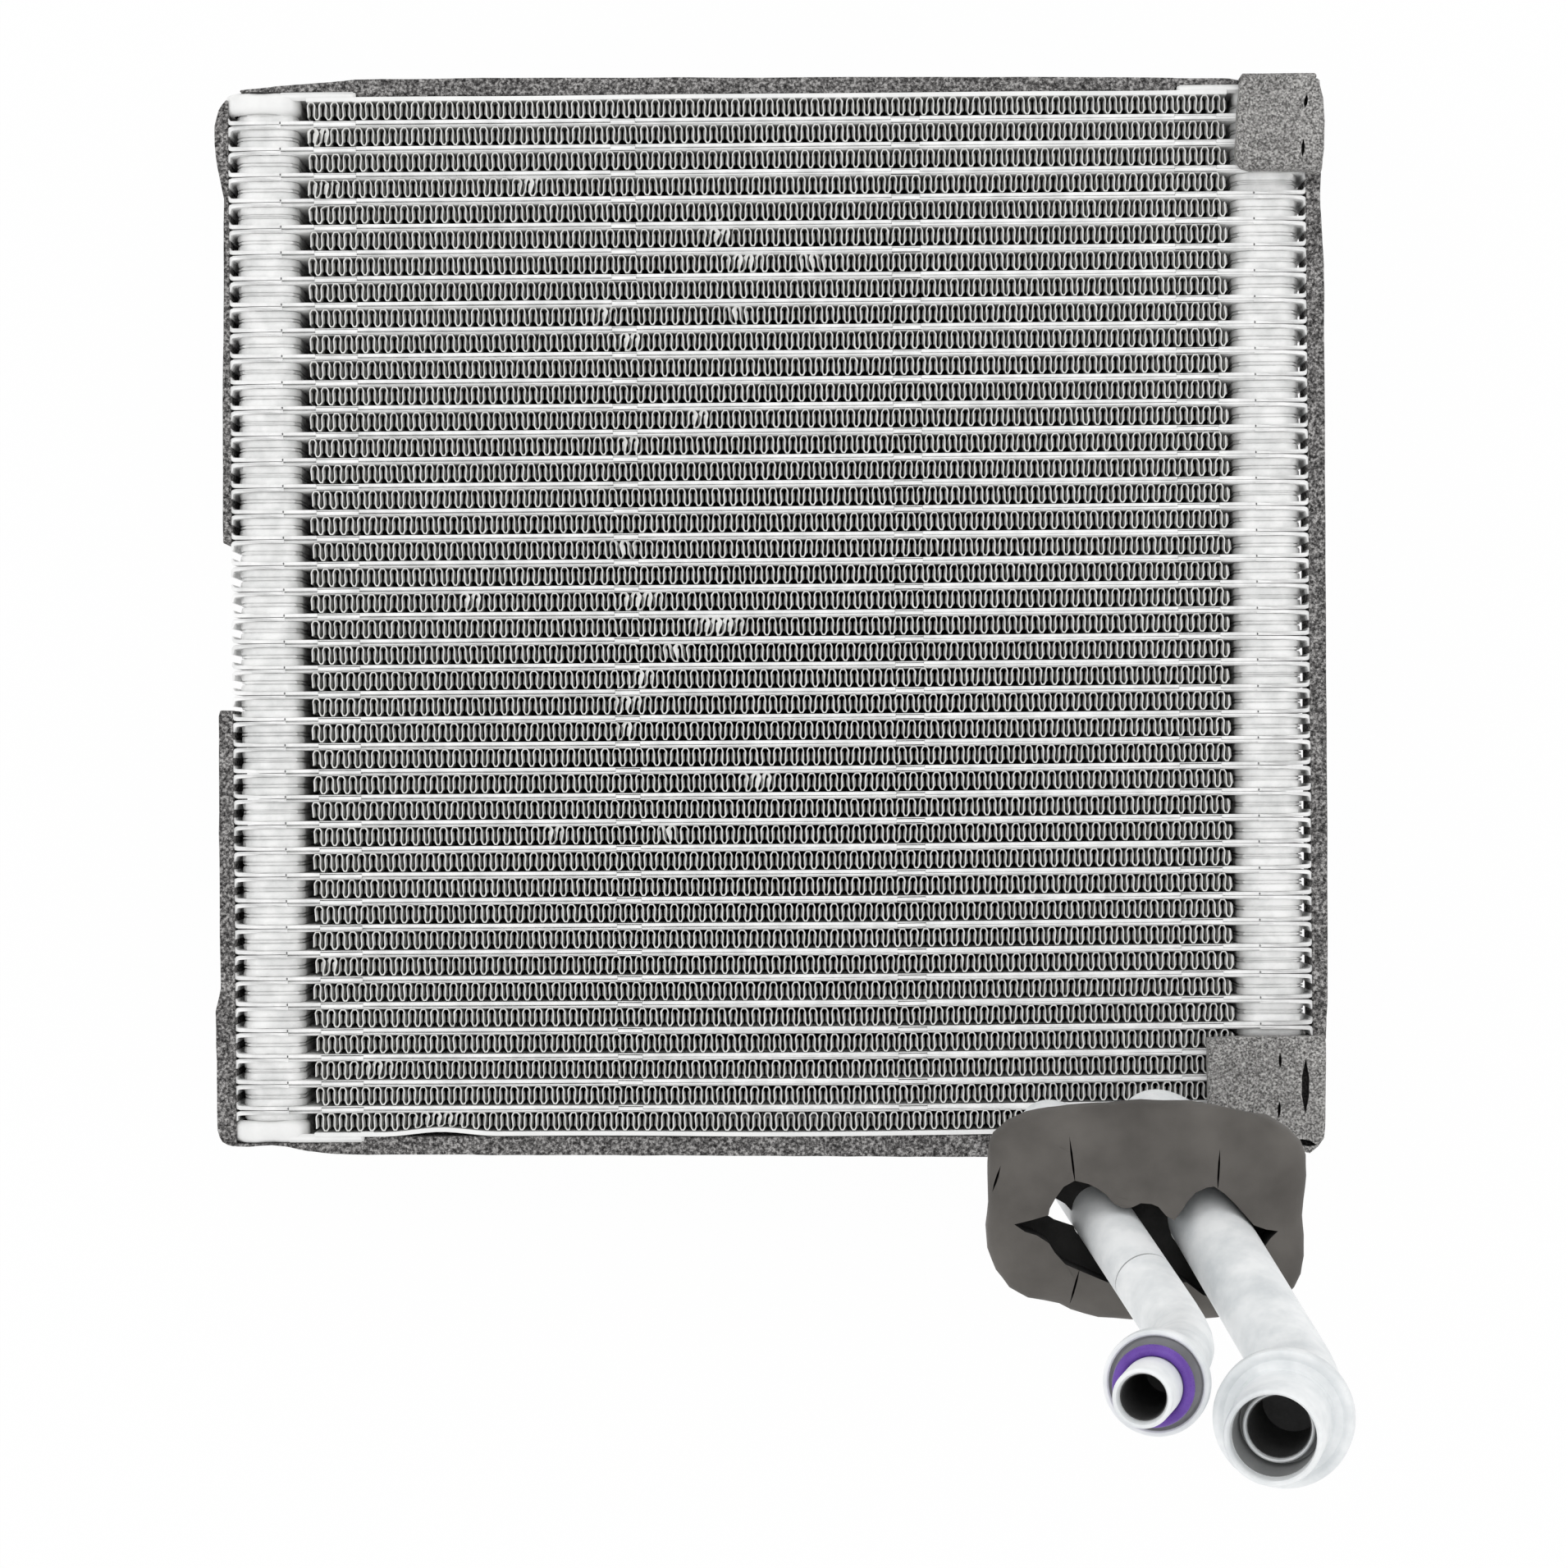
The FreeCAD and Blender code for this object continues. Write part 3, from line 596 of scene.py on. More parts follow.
@dataclass(frozen=True)
class Sag:
    """How far the rows lie below an even pitch: most at the middle of the bottom."""

    top: float = 120.0
    height: float = 240.0
    even: float = 0.36
    everywhere: float = 0.05
    bulge: float = 0.75
    middle: float = 10.0
    reach: float = 50.0
    right: float = 0.003

    def at(self, x: float, y: float) -> float:
        """Drop at a place.

        Args:
            x: Place across the core.
            y: Place up the core.

        Returns:
            Drop along Y.
        """
        down = min(max((self.top - y) / self.height, 0.0), 1.0)
        bulge = self.bulge * math.exp(-((x - self.middle) / self.reach) ** 2)
        bulge += self.everywhere + self.right * max(0.0, x)
        return self.even * down + bulge * down ** 3


SAG = Sag()


@dataclass(frozen=True)
class Layer:
    """Sheet edge between two heights: how far back its front lies, its rounding and rake."""

    y: Pair
    back: float
    edge: float
    rake: float = 0.0


@dataclass
class StampedTubes:
    """Thirty-nine flat tubes, each two brazed plates with drawn tank cups and curled lips."""

    count: int = 39
    pitch: float = 6.0
    depth: float = 38.0
    left_cup: Race = Race(116.2, 7.1, (1.6, 36.4), 20, 0.22)
    right_cup: Race = Race(115.6, 7.6, (1.6, 36.4), 20, 0.22)
    cup_levels: tuple[Pair, ...] = (
        (0.8, 0.45), (0.95, 0.15), (1.4, 0.0), (2.2, 0.1), (2.48, 0.28), (2.53, 0.8), (2.72, 0.8),
        (2.77, 0.25), (3.0, 0.2))
    crimps: tuple[Pair, ...] = ((-105.0, -95.2), (-36.2, -30.5), (28.8, 35.4), (94.5, 104.2))
    plain_layers: tuple[Layer, ...] = (
        Layer((0.0, 0.8), 0.0, 0.14), Layer((-0.8, -0.28), 0.4, 0.08, rake=0.5))
    crimped_layers: tuple[Layer, ...] = (
        Layer((0.56, 0.8), 0.7, 0.05), Layer((-0.40, 0.40), -0.05, 0.14),
        Layer((-0.8, -0.56), 1.2, 0.05))
    filling: tuple[Pair, Pair] = ((-0.5, 0.5), (0.8, 35.5))
    tab: Pair = (113.0, 115.9)
    tab_heights: tuple[Pair, Pair] = ((0.07, 0.58), (-0.52, -0.07))
    tab_depth: Pair = (37.0, 38.15)
    upper_lip: tuple[Pair, ...] = (
        (112.6, 0.06), (119.0, 0.06), (124.0, 0.12), (124.7, 0.3), (125.05, 0.8), (125.1, 1.75),
        (124.8, 1.8), (124.5, 1.15), (123.9, 1.05), (121.5, 0.92), (119.0, 0.8), (112.6, 0.8))
    lower_lip: tuple[Pair, ...] = (
        (112.6, -0.08), (112.6, -0.8), (119.0, -0.8), (121.5, -0.95), (123.9, -1.15),
        (124.4, -1.3), (124.65, -2.4), (125.05, -2.45), (125.15, -1.0), (124.7, -0.4),
        (124.0, -0.2), (119.0, -0.1))
    rounding: Triple = (119.5, 5.6, 1.6)
    unevenness: float = 0.10
    fray: float = 0.25
    frayed_from: float = 122.5

    def plain_stretches(self) -> list[Pair]:
        """Stretches between the crimps, tab to tab."""
        marks = [-self.tab[0], *(x for crimp in self.crimps for x in crimp), self.tab[0]]
        return list(zip(marks[::2], marks[1::2]))

    def plate_edges(self, bm: bmesh.types.BMesh) -> None:
        """Thick upper edge, seam and thin lower edge; the crimps turn this over.

        Args:
            bm: Mesh that gets the plates.
        """
        for stretches, layers in ((self.plain_stretches(), self.plain_layers),
                                  (self.crimps, self.crimped_layers)):
            for stretch in stretches:
                for layer in layers:
                    slab(bm, stretch, layer.y, (0, self.depth - layer.back), layer.edge,
                         layer.rake)
        slab(bm, (-self.tab[0], self.tab[0]), *self.filling)

    def flange(self, bm: bmesh.types.BMesh, side: Side) -> None:
        """Plates beyond the cups, their lips curled apart, and the tab that clasps them.

        Args:
            bm: Mesh that gets them.
            side: Half of the core.
        """
        for outline in (self.upper_lip, self.lower_lip):
            prism(bm, [(side.value * x, y) for x, y in outline], (0, self.depth))
        across = tuple(sorted(side.value * x for x in self.tab))
        for heights in self.tab_heights:
            slab(bm, across, heights, self.tab_depth, 0.08)

    def cups(self, bm: bmesh.types.BMesh, side: Side) -> None:
        """Half cups above and below the plates.

        Args:
            bm: Mesh that gets them.
            side: Half of the core.
        """
        cup = self.left_cup if side is Side.LEFT else self.right_cup
        for way in (1, -1):
            start = len(bm.verts)
            cup.wall(bm, [(way * y, inset) for y, inset in self.cup_levels])
            bm.verts.ensure_lookup_table()
            if side is Side.LEFT:
                bmesh.ops.scale(bm, vec=(-1, 1, 1), verts=bm.verts[start:])

    def round_ends(self, bm: bmesh.types.BMesh) -> None:
        """Draw the corners of the plates in, so that their ends are round seen along Y.

        Args:
            bm: Mesh that holds the plates alone.
        """
        start, reach, back = self.rounding
        half = self.depth / 2
        for vertex in bm.verts:
            share = (abs(vertex.co.x) - start) / reach
            if share > 0:
                vertex.co.z = half + (vertex.co.z - half) * (1 - share * share * back / half)

    def template(self) -> bpy.types.Mesh:
        """One tube about Y = 0.

        Returns:
            Its mesh.
        """
        bm = bmesh.new()
        self.plate_edges(bm)
        for side in Side:
            self.flange(bm, side)
        self.round_ends(bm)
        for side in Side:
            self.cups(bm, side)
        bmesh.ops.recalc_face_normals(bm, faces=bm.faces)
        return to_mesh(bm, "tube_template")

    def build(self) -> None:
        """Place a tube at each pitch, each a little uneven."""
        template = self.template()
        for number in range(1, self.count + 1):
            bm = bmesh.new()
            bm.from_mesh(template)
            height = ((self.count + 1) / 2 - number) * self.pitch
            for vertex in bm.verts:
                x, y, z = vertex.co
                sway = noise.noise(Vector((x / 40, number * 3.7, z / 60)))
                rise = self.unevenness * sway + Dents.lift(x, y + height, z) - SAG.at(x, height)
                vertex.co.y = y + height + rise
                if abs(x) > self.frayed_from:
                    vertex.co.x += self.fray * noise.noise(Vector((y, number * 1.9, z / 25)))
            make_piece(bm, f"plate_pair_{number:02d}", PLATE, [f"tube_{number:02d}"])
        bpy.data.meshes.remove(template)


@dataclass(frozen=True)
class Knock:
    """One place where the front edges were knocked over."""

    x: float
    y: float
    reach: float
    push: float


class Dents:
    """Places where the core was knocked in handling."""

    knocks = tuple(Knock(*place) for place in (
        (-103.8, 111.0, 2.6, 1.3), (-102.5, 97.5, 4.6, 0.9), (-55.3, 100.5, 3.2, 1.1),
        (-11.5, 90.5, 3.4, 1.2), (-5.6, 80.8, 5.0, 1.1), (10.6, 81.0, 4.0, -1.0),
        (-38.2, 69.5, 3.0, 1.0), (-32.5, 63.0, 3.2, 1.1), (-7.2, 68.3, 3.0, -1.0),
        (-16.6, 45.2, 3.0, 1.1), (-32.6, 39.0, 3.2, 1.0), (-33.8, 16.0, 3.2, -1.0),
        (-69.6, 2.8, 3.2, 1.0), (-30.2, 2.6, 6.0, 1.1), (-12.2, -3.2, 7.0, 1.2),
        (-22.2, -8.9, 3.4, -1.0), (-29.8, -15.5, 3.0, 1.0), (-33.5, -19.0, 5.0, 1.0),
        (-34.0, -26.8, 3.0, 1.0), (-3.2, -39.3, 4.4, 1.1), (-50.8, -51.4, 2.8, 1.0),
        (-24.0, -51.6, 2.8, -1.0), (-103.0, -81.3, 2.4, 1.0), (-92.3, -105.9, 6.0, 0.8),
        (-77.0, -117.3, 7.5, 0.8)))
    row_reach = 3.0
    plate_lift = (-77.4, 1.0, 13.0)
    tube_lift = (-12.0, -6.0, 0.8, 4.0)
    tube_front = 30.0
    tube_reach = 1.5

    @classmethod
    def fold(cls, x: float, y: float) -> float:
        """Sideways push of the fins' front edges.

        Args:
            x: Place across the core.
            y: Place up the core.

        Returns:
            Push along X.
        """
        push = 0.0
        for knock in cls.knocks:
            if abs(y - knock.y) < cls.row_reach and abs(x - knock.x) < knock.reach:
                push += knock.push * math.sqrt(1 - abs(x - knock.x) / knock.reach)
        return push

    @classmethod
    def plate(cls, x: float) -> float:
        """Rise of the bottom side plate where it was knocked in.

        Args:
            x: Place across the core.

        Returns:
            Rise along Y.
        """
        centre, height, reach = cls.plate_lift
        share = max(0.0, 1 - abs(x - centre) / reach)
        return height * share * share * (3 - 2 * share)

    @classmethod
    def lift(cls, x: float, y: float, z: float) -> float:
        """Rise of a tube's front edge at the knock in the middle of the core.

        Args:
            x: Place across the core.
            y: Place up the core.
            z: Place in depth.

        Returns:
            Rise along Y.
        """
        centre_x, centre_y, height, reach = cls.tube_lift
        far = abs(y - centre_y) > cls.tube_reach or abs(x - centre_x) > reach
        if far or z < cls.tube_front:
            return 0.0
        return -height * math.cos((x - centre_x) / reach * math.pi / 2)


@dataclass
class FinBank:
    """Forty folded strips of louvred sheet, brazed between the tubes."""

    rows: int = 40
    pitch: float = 6.0
    folds: int = 80
    half_width: float = 106.1
    crest: float = 2.2
    sheet: float = 0.26
    slat_end: float = 0.9
    belly: float = 0.06
    depths: tuple[float, ...] = (0.5, 35.6, 36.7, 37.5)
    slats: tuple[float, ...] = (0.0, -0.2, 0.42, 0.0)
    rows_per_piece: int = 10
    drift: float = 1.1
    shift: float = 0.6
    wander: float = 0.30
    lean: float = 0.26
    lean_cell: float = 1.33
    bent_from: float = 37.0
    bow: float = 0.45
    tip: float = 0.6
    crush: float = 0.5
    most_crushed: float = 1.2

    def one_fold(self, bm: bmesh.types.BMesh) -> None:
        """Up one wall, over a crest, down the next and round the foot.

        Args:
            bm: Mesh that gets the line of the fold.
        """
        half = self.half_width / self.folds
        reach = self.crest - self.sheet / 2 - half / 2
        foot = bm.verts.new((0, -reach, 0))
        tip = foot
        for way in (1, -1):
            for height in (-way * self.slat_end, way * self.slat_end, way * reach):
                made = bmesh.ops.extrude_vert_indiv(bm, verts=[tip])
                tip = made["verts"][0]
                tip.co.y = height
            turned = bmesh.ops.spin(
                bm, geom=[tip], cent=tip.co + Vector((half / 2, 0, 0)), axis=(0, 0, 1),
                angle=-way * math.pi, steps=3, use_duplicate=False)
            tip = vertices(turned["geom_last"])[0]

    def template(self) -> bpy.types.Mesh:
        """One strip about Y = 0.

        Returns:
            Its mesh.
        """
        bm = bmesh.new()
        self.one_fold(bm)
        fold = 2 * self.half_width / self.folds
        done = 1
        while done < self.folds:
            extra = min(done, self.folds - done)
            part = {v for v in bm.verts if v.co.x <= extra * fold + 0.01}
            lines = [e for e in bm.edges if part.issuperset(e.verts)]
            copied = bmesh.ops.duplicate(bm, geom=list(part) + lines)
            bmesh.ops.translate(bm, vec=(done * fold, 0, 0), verts=vertices(copied["geom"]))
            bmesh.ops.remove_doubles(bm, verts=bm.verts, dist=0.01)
            done += extra
        bmesh.ops.translate(bm, vec=(-self.half_width, 0, self.depths[0]), verts=bm.verts)
        rim = list(bm.edges)
        for back, front in zip(self.depths, self.depths[1:]):
            made = bmesh.ops.extrude_edge_only(bm, edges=rim)["geom"]
            bmesh.ops.translate(bm, vec=(0, 0, front - back), verts=vertices(made))
            rim = [e for e in edges(made) if all(v.co.z > front - 0.01 for v in e.verts)]
        self.press(bm)
        bmesh.ops.recalc_face_normals(bm, faces=bm.faces)
        bmesh.ops.solidify(bm, geom=list(bm.faces), thickness=self.sheet)
        return to_mesh(bm, "fin_template")

    def press(self, bm: bmesh.types.BMesh) -> None:
        """Belly the walls, and press the louvre slats out between the two faces.

        Args:
            bm: Strip before it gets its thickness.
        """
        fold = 2 * self.half_width / self.folds
        for vertex in bm.verts:
            place = ((vertex.co.x + self.half_width) / fold) % 1.0
            inward = 1 if place < 0.25 or place > 0.75 else -1
            if abs(vertex.co.y) < self.slat_end + 0.01:
                depth = min(self.depths, key=lambda z: abs(z - vertex.co.z))
                push = self.slats[self.depths.index(depth)]
                vertex.co.x += inward * (push - self.belly * vertex.co.y / self.slat_end)

    def settle(self, bm: bmesh.types.BMesh, row: int) -> None:
        """Place a strip in its gap with its own phase, uneven folds and bent edges.

        Args:
            bm: Strip about Y = 0, moved in place.
            row: Number of the gap, from 0 at the top.
        """
        height = ((self.rows - 1) / 2 - row) * self.pitch
        drift = self.drift * noise.noise(Vector((row * 2.31, 0.5, 0.7)))
        shift = self.shift * noise.noise(Vector((row * 1.73, 4.5, 2.7)))
        for vertex in bm.verts:
            x, y, z = vertex.co
            across = y / self.crest
            cell = math.floor(x / self.lean_cell)
            lean = noise.noise(Vector((cell * 0.9, row * 5.1, 0.3)))
            wide = noise.noise(Vector((x / 9, row * 3.3, 0.9)))
            x += drift * (1 - (abs(x) / self.half_width) ** 6) + self.wander * wide + shift
            x += lean * self.lean * across
            drop = SAG.at(x, height)
            push = Dents.fold(x, y + height - drop)
            if z > self.bent_from and push:
                x += push * (self.bow * (1 - across ** 2) + self.tip * across)
                z -= self.crush * min(abs(push), self.most_crushed)
            if row == self.rows - 1 and y < 0:
                y -= Dents.plate(x) * across
            vertex.co = (x, y + height - drop, z)

    def build(self) -> None:
        """Build the strips in groups."""
        template = self.template()
        for first in range(0, self.rows, self.rows_per_piece):
            whole = bmesh.new()
            for row in range(first, min(first + self.rows_per_piece, self.rows)):
                bm = bmesh.new()
                bm.from_mesh(template)
                self.settle(bm, row)
                strip = to_mesh(bm, "strip")
                whole.from_mesh(strip)
                bpy.data.meshes.remove(strip)
            number = first // self.rows_per_piece + 1
            make_piece(whole, f"fin_rows_{number}", FIN, ["fin_strips"], crease=50)
        bpy.data.meshes.remove(template)


@dataclass(frozen=True)
class Bar:
    """Block of an end cap or a pad: its three ranges and the width of its soft edges."""

    x: Pair
    y: Pair
    z: Pair
    edge: float


@dataclass
class EndSheets:
    """Side plates along the stack, and drawn end caps on the tanks."""

    heights: Pair = (119.2, 120.2)
    reach: float = 106.7
    depth: float = 38.0
    cuts: int = 90
    waves: float = 0.12
    cap: Race = Race(117.1, 8.3, (0.4, 37.6), 24, 0.3)
    cap_levels: tuple[Pair, ...] = (
        (116.4, 2.2), (116.5, 1.3), (116.8, 0.6), (117.4, 0.1), (118.2, 0.0), (119.4, 0.0),
        (120.2, 0.12), (120.8, 0.45), (121.3, 1.1), (121.6, 2.0), (121.72, 3.0))
    tongue: tuple[Bar, ...] = (
        Bar((95.2, 113.6), (120.2, 121.4), (0, 37.1), 0.25),
        Bar((95.2, 113.2), (119.6, 121.55), (36.0, 37.75), 0.7),
        Bar((93.0, 96.0), (119.1, 120.25), (36.4, 37.9), 0.1))
    cap_waves: float = 0.08

    def side_plate(self, way: int) -> None:
        """One side plate; the bottom one is knocked in at the left.

        Args:
            way: 1 for the top and -1 for the bottom.
        """
        bm = bmesh.new()
        low, high = sorted(way * height for height in self.heights)
        slab(bm, (-self.reach, self.reach), (low, high), (0, self.depth))
        along = [e for e in bm.edges if abs(e.verts[0].co.x - e.verts[1].co.x) > 1]
        bmesh.ops.subdivide_edges(bm, edges=along, cuts=self.cuts, use_grid_fill=True)
        soften(bm, [e for e in bm.edges if e.calc_face_angle(0) > 1], 0.1)
        for vertex in bm.verts:
            x, y, z = vertex.co
            wave = self.waves * noise.noise(Vector((x / 30, way, z / 50)))
            vertex.co.y += wave - SAG.at(x, y)
            if way < 0:
                vertex.co.y += Dents.plate(x)
        name = "top" if way > 0 else "bottom"
        make_piece(bm, f"side_sheet_{name}", END, [f"{name}_side_plate"])

    def end_cap(self, side: Side, way: int) -> None:
        """One end cap: drawn cup, and a plate whose tongue lies on the side plate.

        Args:
            side: Half of the core.
            way: 1 for the top and -1 for the bottom.
        """
        bm = bmesh.new()
        self.cap.wall(bm, self.cap_levels, closed=True)
        for bar in self.tongue:
            slab(bm, bar.x, bar.y, bar.z, bar.edge)
        bmesh.ops.scale(bm, vec=(side.value, way, 1), verts=bm.verts)
        bmesh.ops.recalc_face_normals(bm, faces=bm.faces)
        for vertex in bm.verts:
            wave = self.cap_waves * noise.noise(vertex.co / 12)
            vertex.co.y += wave - SAG.at(vertex.co.x, vertex.co.y)
        name = f"{'top' if way > 0 else 'bottom'}_{side.name.lower()}"
        make_piece(bm, f"drawn_cap_{name}", END, [f"end_cap_{name}"])

    def build(self) -> None:
        """Build both plates and the four caps."""
        for way in (1, -1):
            self.side_plate(way)
            for side in Side:
                self.end_cap(side, way)


@dataclass(frozen=True)
class Station:
    """Section of a tape at one place along it: inner and outer face."""

    place: float
    inner: float
    outer: float


@dataclass
class EdgeTape:
    """Foam tape along one edge of the core."""

    name: str
    upright: bool
    stations: tuple[Station, ...]
    depth: Pair
    edge: float = 0.45
    bumps: float = 0.14
    pits: float = 0.08

    def point(self, place: float, offset: float, z: float) -> Vector:
        """Point along the tape, away from its seat, in depth."""
        return Vector((offset, place, z)) if self.upright else Vector((place, offset, z))

    def build(self) -> None:
        """Carry a square section through the stations, then roughen it."""
        bm = bmesh.new()
        first = self.stations[0]
        back, front = self.depth
        corners = [bm.verts.new(self.point(first.place, offset, z)) for offset, z in (
            (first.inner, back), (first.inner, front), (first.outer, front),
            (first.outer, back))]
        end = bm.faces.new(corners)
        for before, station in zip(self.stations, self.stations[1:]):
            made = bmesh.ops.extrude_face_region(bm, geom=[end], use_keep_orig=False)["geom"]
            end = faces(made)[0]
            for vertex in end.verts:
                offset = vertex.co.x if self.upright else vertex.co.y
                near = abs(offset - before.inner) < abs(offset - before.outer)
                vertex.co = self.point(
                    station.place, station.inner if near else station.outer, vertex.co.z)
        bmesh.ops.recalc_face_normals(bm, faces=bm.faces)
        long_edges = [e for e in bm.edges if e.calc_length() > 4]
        bmesh.ops.subdivide_edges(bm, edges=long_edges, cuts=5, use_grid_fill=True)
        sharp = [e for e in bm.edges if e.is_manifold and e.calc_face_angle(0) > 1.0]
        soften(bm, sharp, self.edge, 2)
        for vertex in bm.verts:
            sway = noise.noise(vertex.co / 7) * self.bumps + noise.noise(vertex.co / 2) * self.pits
            vertex.co += vertex.normal * sway
        make_piece(bm, f"tape_{self.name}", TAPE, [f"foam_{self.name}"], crease=70)


@dataclass
class FoamTapes:
    """Tapes on the left, right, top and bottom edges, as places along them and their faces."""

    seat: float = 124.95
    wide: Pair = (13.0, 37.0)
    narrow: Pair = (23.0, 37.0)
    left_upper: tuple[Pair, ...] = (
        (119.9, -125.4), (118.9, -126.3), (117.6, -127.1), (114.0, -128.05), (109.9, -128.1),
        (105.3, -127.6), (99.9, -126.6), (97.0, -126.1), (80.0, -126.2), (50.0, -126.7),
        (17.1, -126.9))
    left_lower: tuple[Pair, ...] = (
        (-21.6, -127.9), (-23.0, -128.2), (-50.0, -128.4), (-86.0, -128.4), (-91.5, -129.5),
        (-115.0, -129.4), (-118.9, -129.2), (-120.6, -128.75), (-121.7, -128.1),
        (-122.35, -127.0), (-122.65, -125.8))
    right: tuple[Pair, ...] = (
        (101.4, 128.6), (97.5, 128.35), (93.5, 128.2), (87.0, 128.7), (80.0, 129.0),
        (60.0, 129.0), (0.0, 128.8), (-50.0, 128.7), (-90.0, 128.5), (-100.2, 128.0))
    top: tuple[Triple, ...] = (
        (-122.0, 121.8, 122.15), (-116.5, 121.8, 122.8), (-111.0, 121.75, 123.25),
        (-105.0, 121.7, 123.7), (-101.6, 121.5, 123.9), (-95.4, 121.5, 124.5),
        (-94.8, 120.4, 124.5), (-60, 120.4, 124.6), (0, 120.4, 124.2), (60, 120.4, 123.8),
        (94.5, 120.4, 123.3), (95.0, 121.5, 123.2), (107.1, 121.6, 123.0), (109.5, 121.7, 122.7))
    bottom: tuple[Triple, ...] = (
        (-125.2, -122.1, -122.7), (-122.0, -122.15, -122.85), (-116.8, -122.1, -122.55),
        (-113.1, -122.1, -122.9), (-110.9, -122.1, -123.5), (-108.2, -122.05, -124.05),
        (-101.8, -121.95, -124.7), (-95.4, -121.9, -124.85), (-94.8, -120.75, -124.9),
        (-60, -120.95, -125.3), (-25, -121.35, -125.7), (0, -121.55, -126.0),
        (25, -121.5, -126.35), (50.4, -121.4, -126.7))

    def build(self) -> None:
        """Build the five tapes."""
        for name, places, depth in (("left_upper", self.left_upper, self.wide),
                                    ("left_lower", self.left_lower, self.wide),
                                    ("right", self.right, self.narrow)):
            stations = tuple(Station(y, math.copysign(self.seat, x), x) for y, x in places)
            EdgeTape(name, True, stations, depth).build()
        for name, places in (("top", self.top), ("bottom", self.bottom)):
            stations = tuple(Station(*place) for place in places)
            EdgeTape(name, False, stations, self.wide).build()


def lens(start: Pair, end: Pair, width: float) -> list[Pair]:
    """Corners of a pointed slit.

    Args:
        start: One tip.
        end: Other tip.
        width: Width of the slit's middle third.

    Returns:
        Corners in order.
    """
    along = Vector((end[0] - start[0], end[1] - start[1]))
    across = Vector((-along.y, along.x)).normalized() * width / 2
    near = Vector(start) + along / 3
    far = Vector(start) + 2 * (along / 3)
    return [(p.x, p.y) for p in (Vector(start), near + across, far + across, Vector(end),
                                 far - across, near - across)]


def carved(bm: bmesh.types.BMesh, cutter: bmesh.types.BMesh) -> bmesh.types.BMesh:
    """Cut one closed mesh out of another; the faces of the cut get material index 1.

    Args:
        bm: Mesh to cut, which is freed.
        cutter: Mesh that is taken away, which is freed.

    Returns:
        New mesh with the cut made.
    """
    things = []
    for face in cutter.faces:
        face.material_index = 1
    for source in (bm, cutter):
        bmesh.ops.recalc_face_normals(source, faces=source.faces)
        mesh = to_mesh(source, "carving")
        mesh.materials.append(None)
        mesh.materials.append(None)
        thing = bpy.data.objects.new("carving", mesh)
        bpy.context.scene.collection.objects.link(thing)
        things.append(thing)
    cut = things[0].modifiers.new("cut", "BOOLEAN")
    cut.object = things[1]
    cut.solver = "EXACT"
    graph = bpy.context.evaluated_depsgraph_get()
    result = bmesh.new()
    result.from_mesh(things[0].evaluated_get(graph).to_mesh())
    for thing in things:
        mesh = thing.data
        bpy.data.objects.remove(thing)
        bpy.data.meshes.remove(mesh)
    return result


def roughened(bm: bmesh.types.BMesh, wide: float, fine: float) -> None:
    """Push the vertices of a foam piece in and out by smooth noise, but not those of its cuts.

    Args:
        bm: Mesh of the piece.
        wide: Height of the wide bumps.
        fine: Height of the fine bumps.
    """
    bm.normal_update()
    for vertex in bm.verts:
        if all(face.material_index == 0 for face in vertex.link_faces):
            sway = noise.noise(vertex.co / 9) * wide + noise.noise(vertex.co / 2.2) * fine
            vertex.co += vertex.normal * sway


@dataclass(frozen=True)
class CornerPad:
    """Foam pad over a corner: front panel, slits as two tips and a width, and side blocks."""

    place: str
    outline: tuple[Pair, ...]
    slits: tuple[tuple[Pair, Pair, float], ...]
    blocks: tuple[Bar, ...]
    front: Pair = (38.3, 42.3)
    edge: float = 0.9
    slit_floor: float = 0.8
    bumps: float = 0.22
    pits: float = 0.14
    past: float = 1.0
    facets: Pair = (6.0, 3.0)

    def panel(self) -> bmesh.types.BMesh:
        """Front panel with rounded edges and slits.

        Returns:
            The panel.
        """
        bm = bmesh.new()
        rim = prism(bm, self.outline, self.front)
        soften(bm, [e for e in bm.edges if all(v in rim for v in e.verts)], self.edge, 3)
        cutter = bmesh.new()
        back, front = self.front
        for slit in self.slits:
            prism(cutter, lens(*slit), (back + self.slit_floor, front + self.past))
        return carved(bm, cutter)

    def build(self) -> None:
        """Add the blocks, then divide, roughen and dress the pad."""
        bm = self.panel()
        for block in self.blocks:
            slab(bm, block.x, block.y, block.z, block.edge)
        bmesh.ops.triangulate(bm, faces=[f for f in bm.faces if len(f.verts) > 4])
        for limit in self.facets:
            bmesh.ops.subdivide_edges(
                bm, edges=[e for e in bm.edges if e.calc_length() > limit], cuts=1)
            bmesh.ops.triangulate(bm, faces=[f for f in bm.faces if len(f.verts) > 4])
        roughened(bm, self.bumps, self.pits)
        # The slits' carved walls get a near-black finish: painted shade.
        make_piece(bm, f"pad_{self.place}", CORNER, [f"corner_pad_{self.place}"], crease=55,
                   inside=SLIT_SHADE)


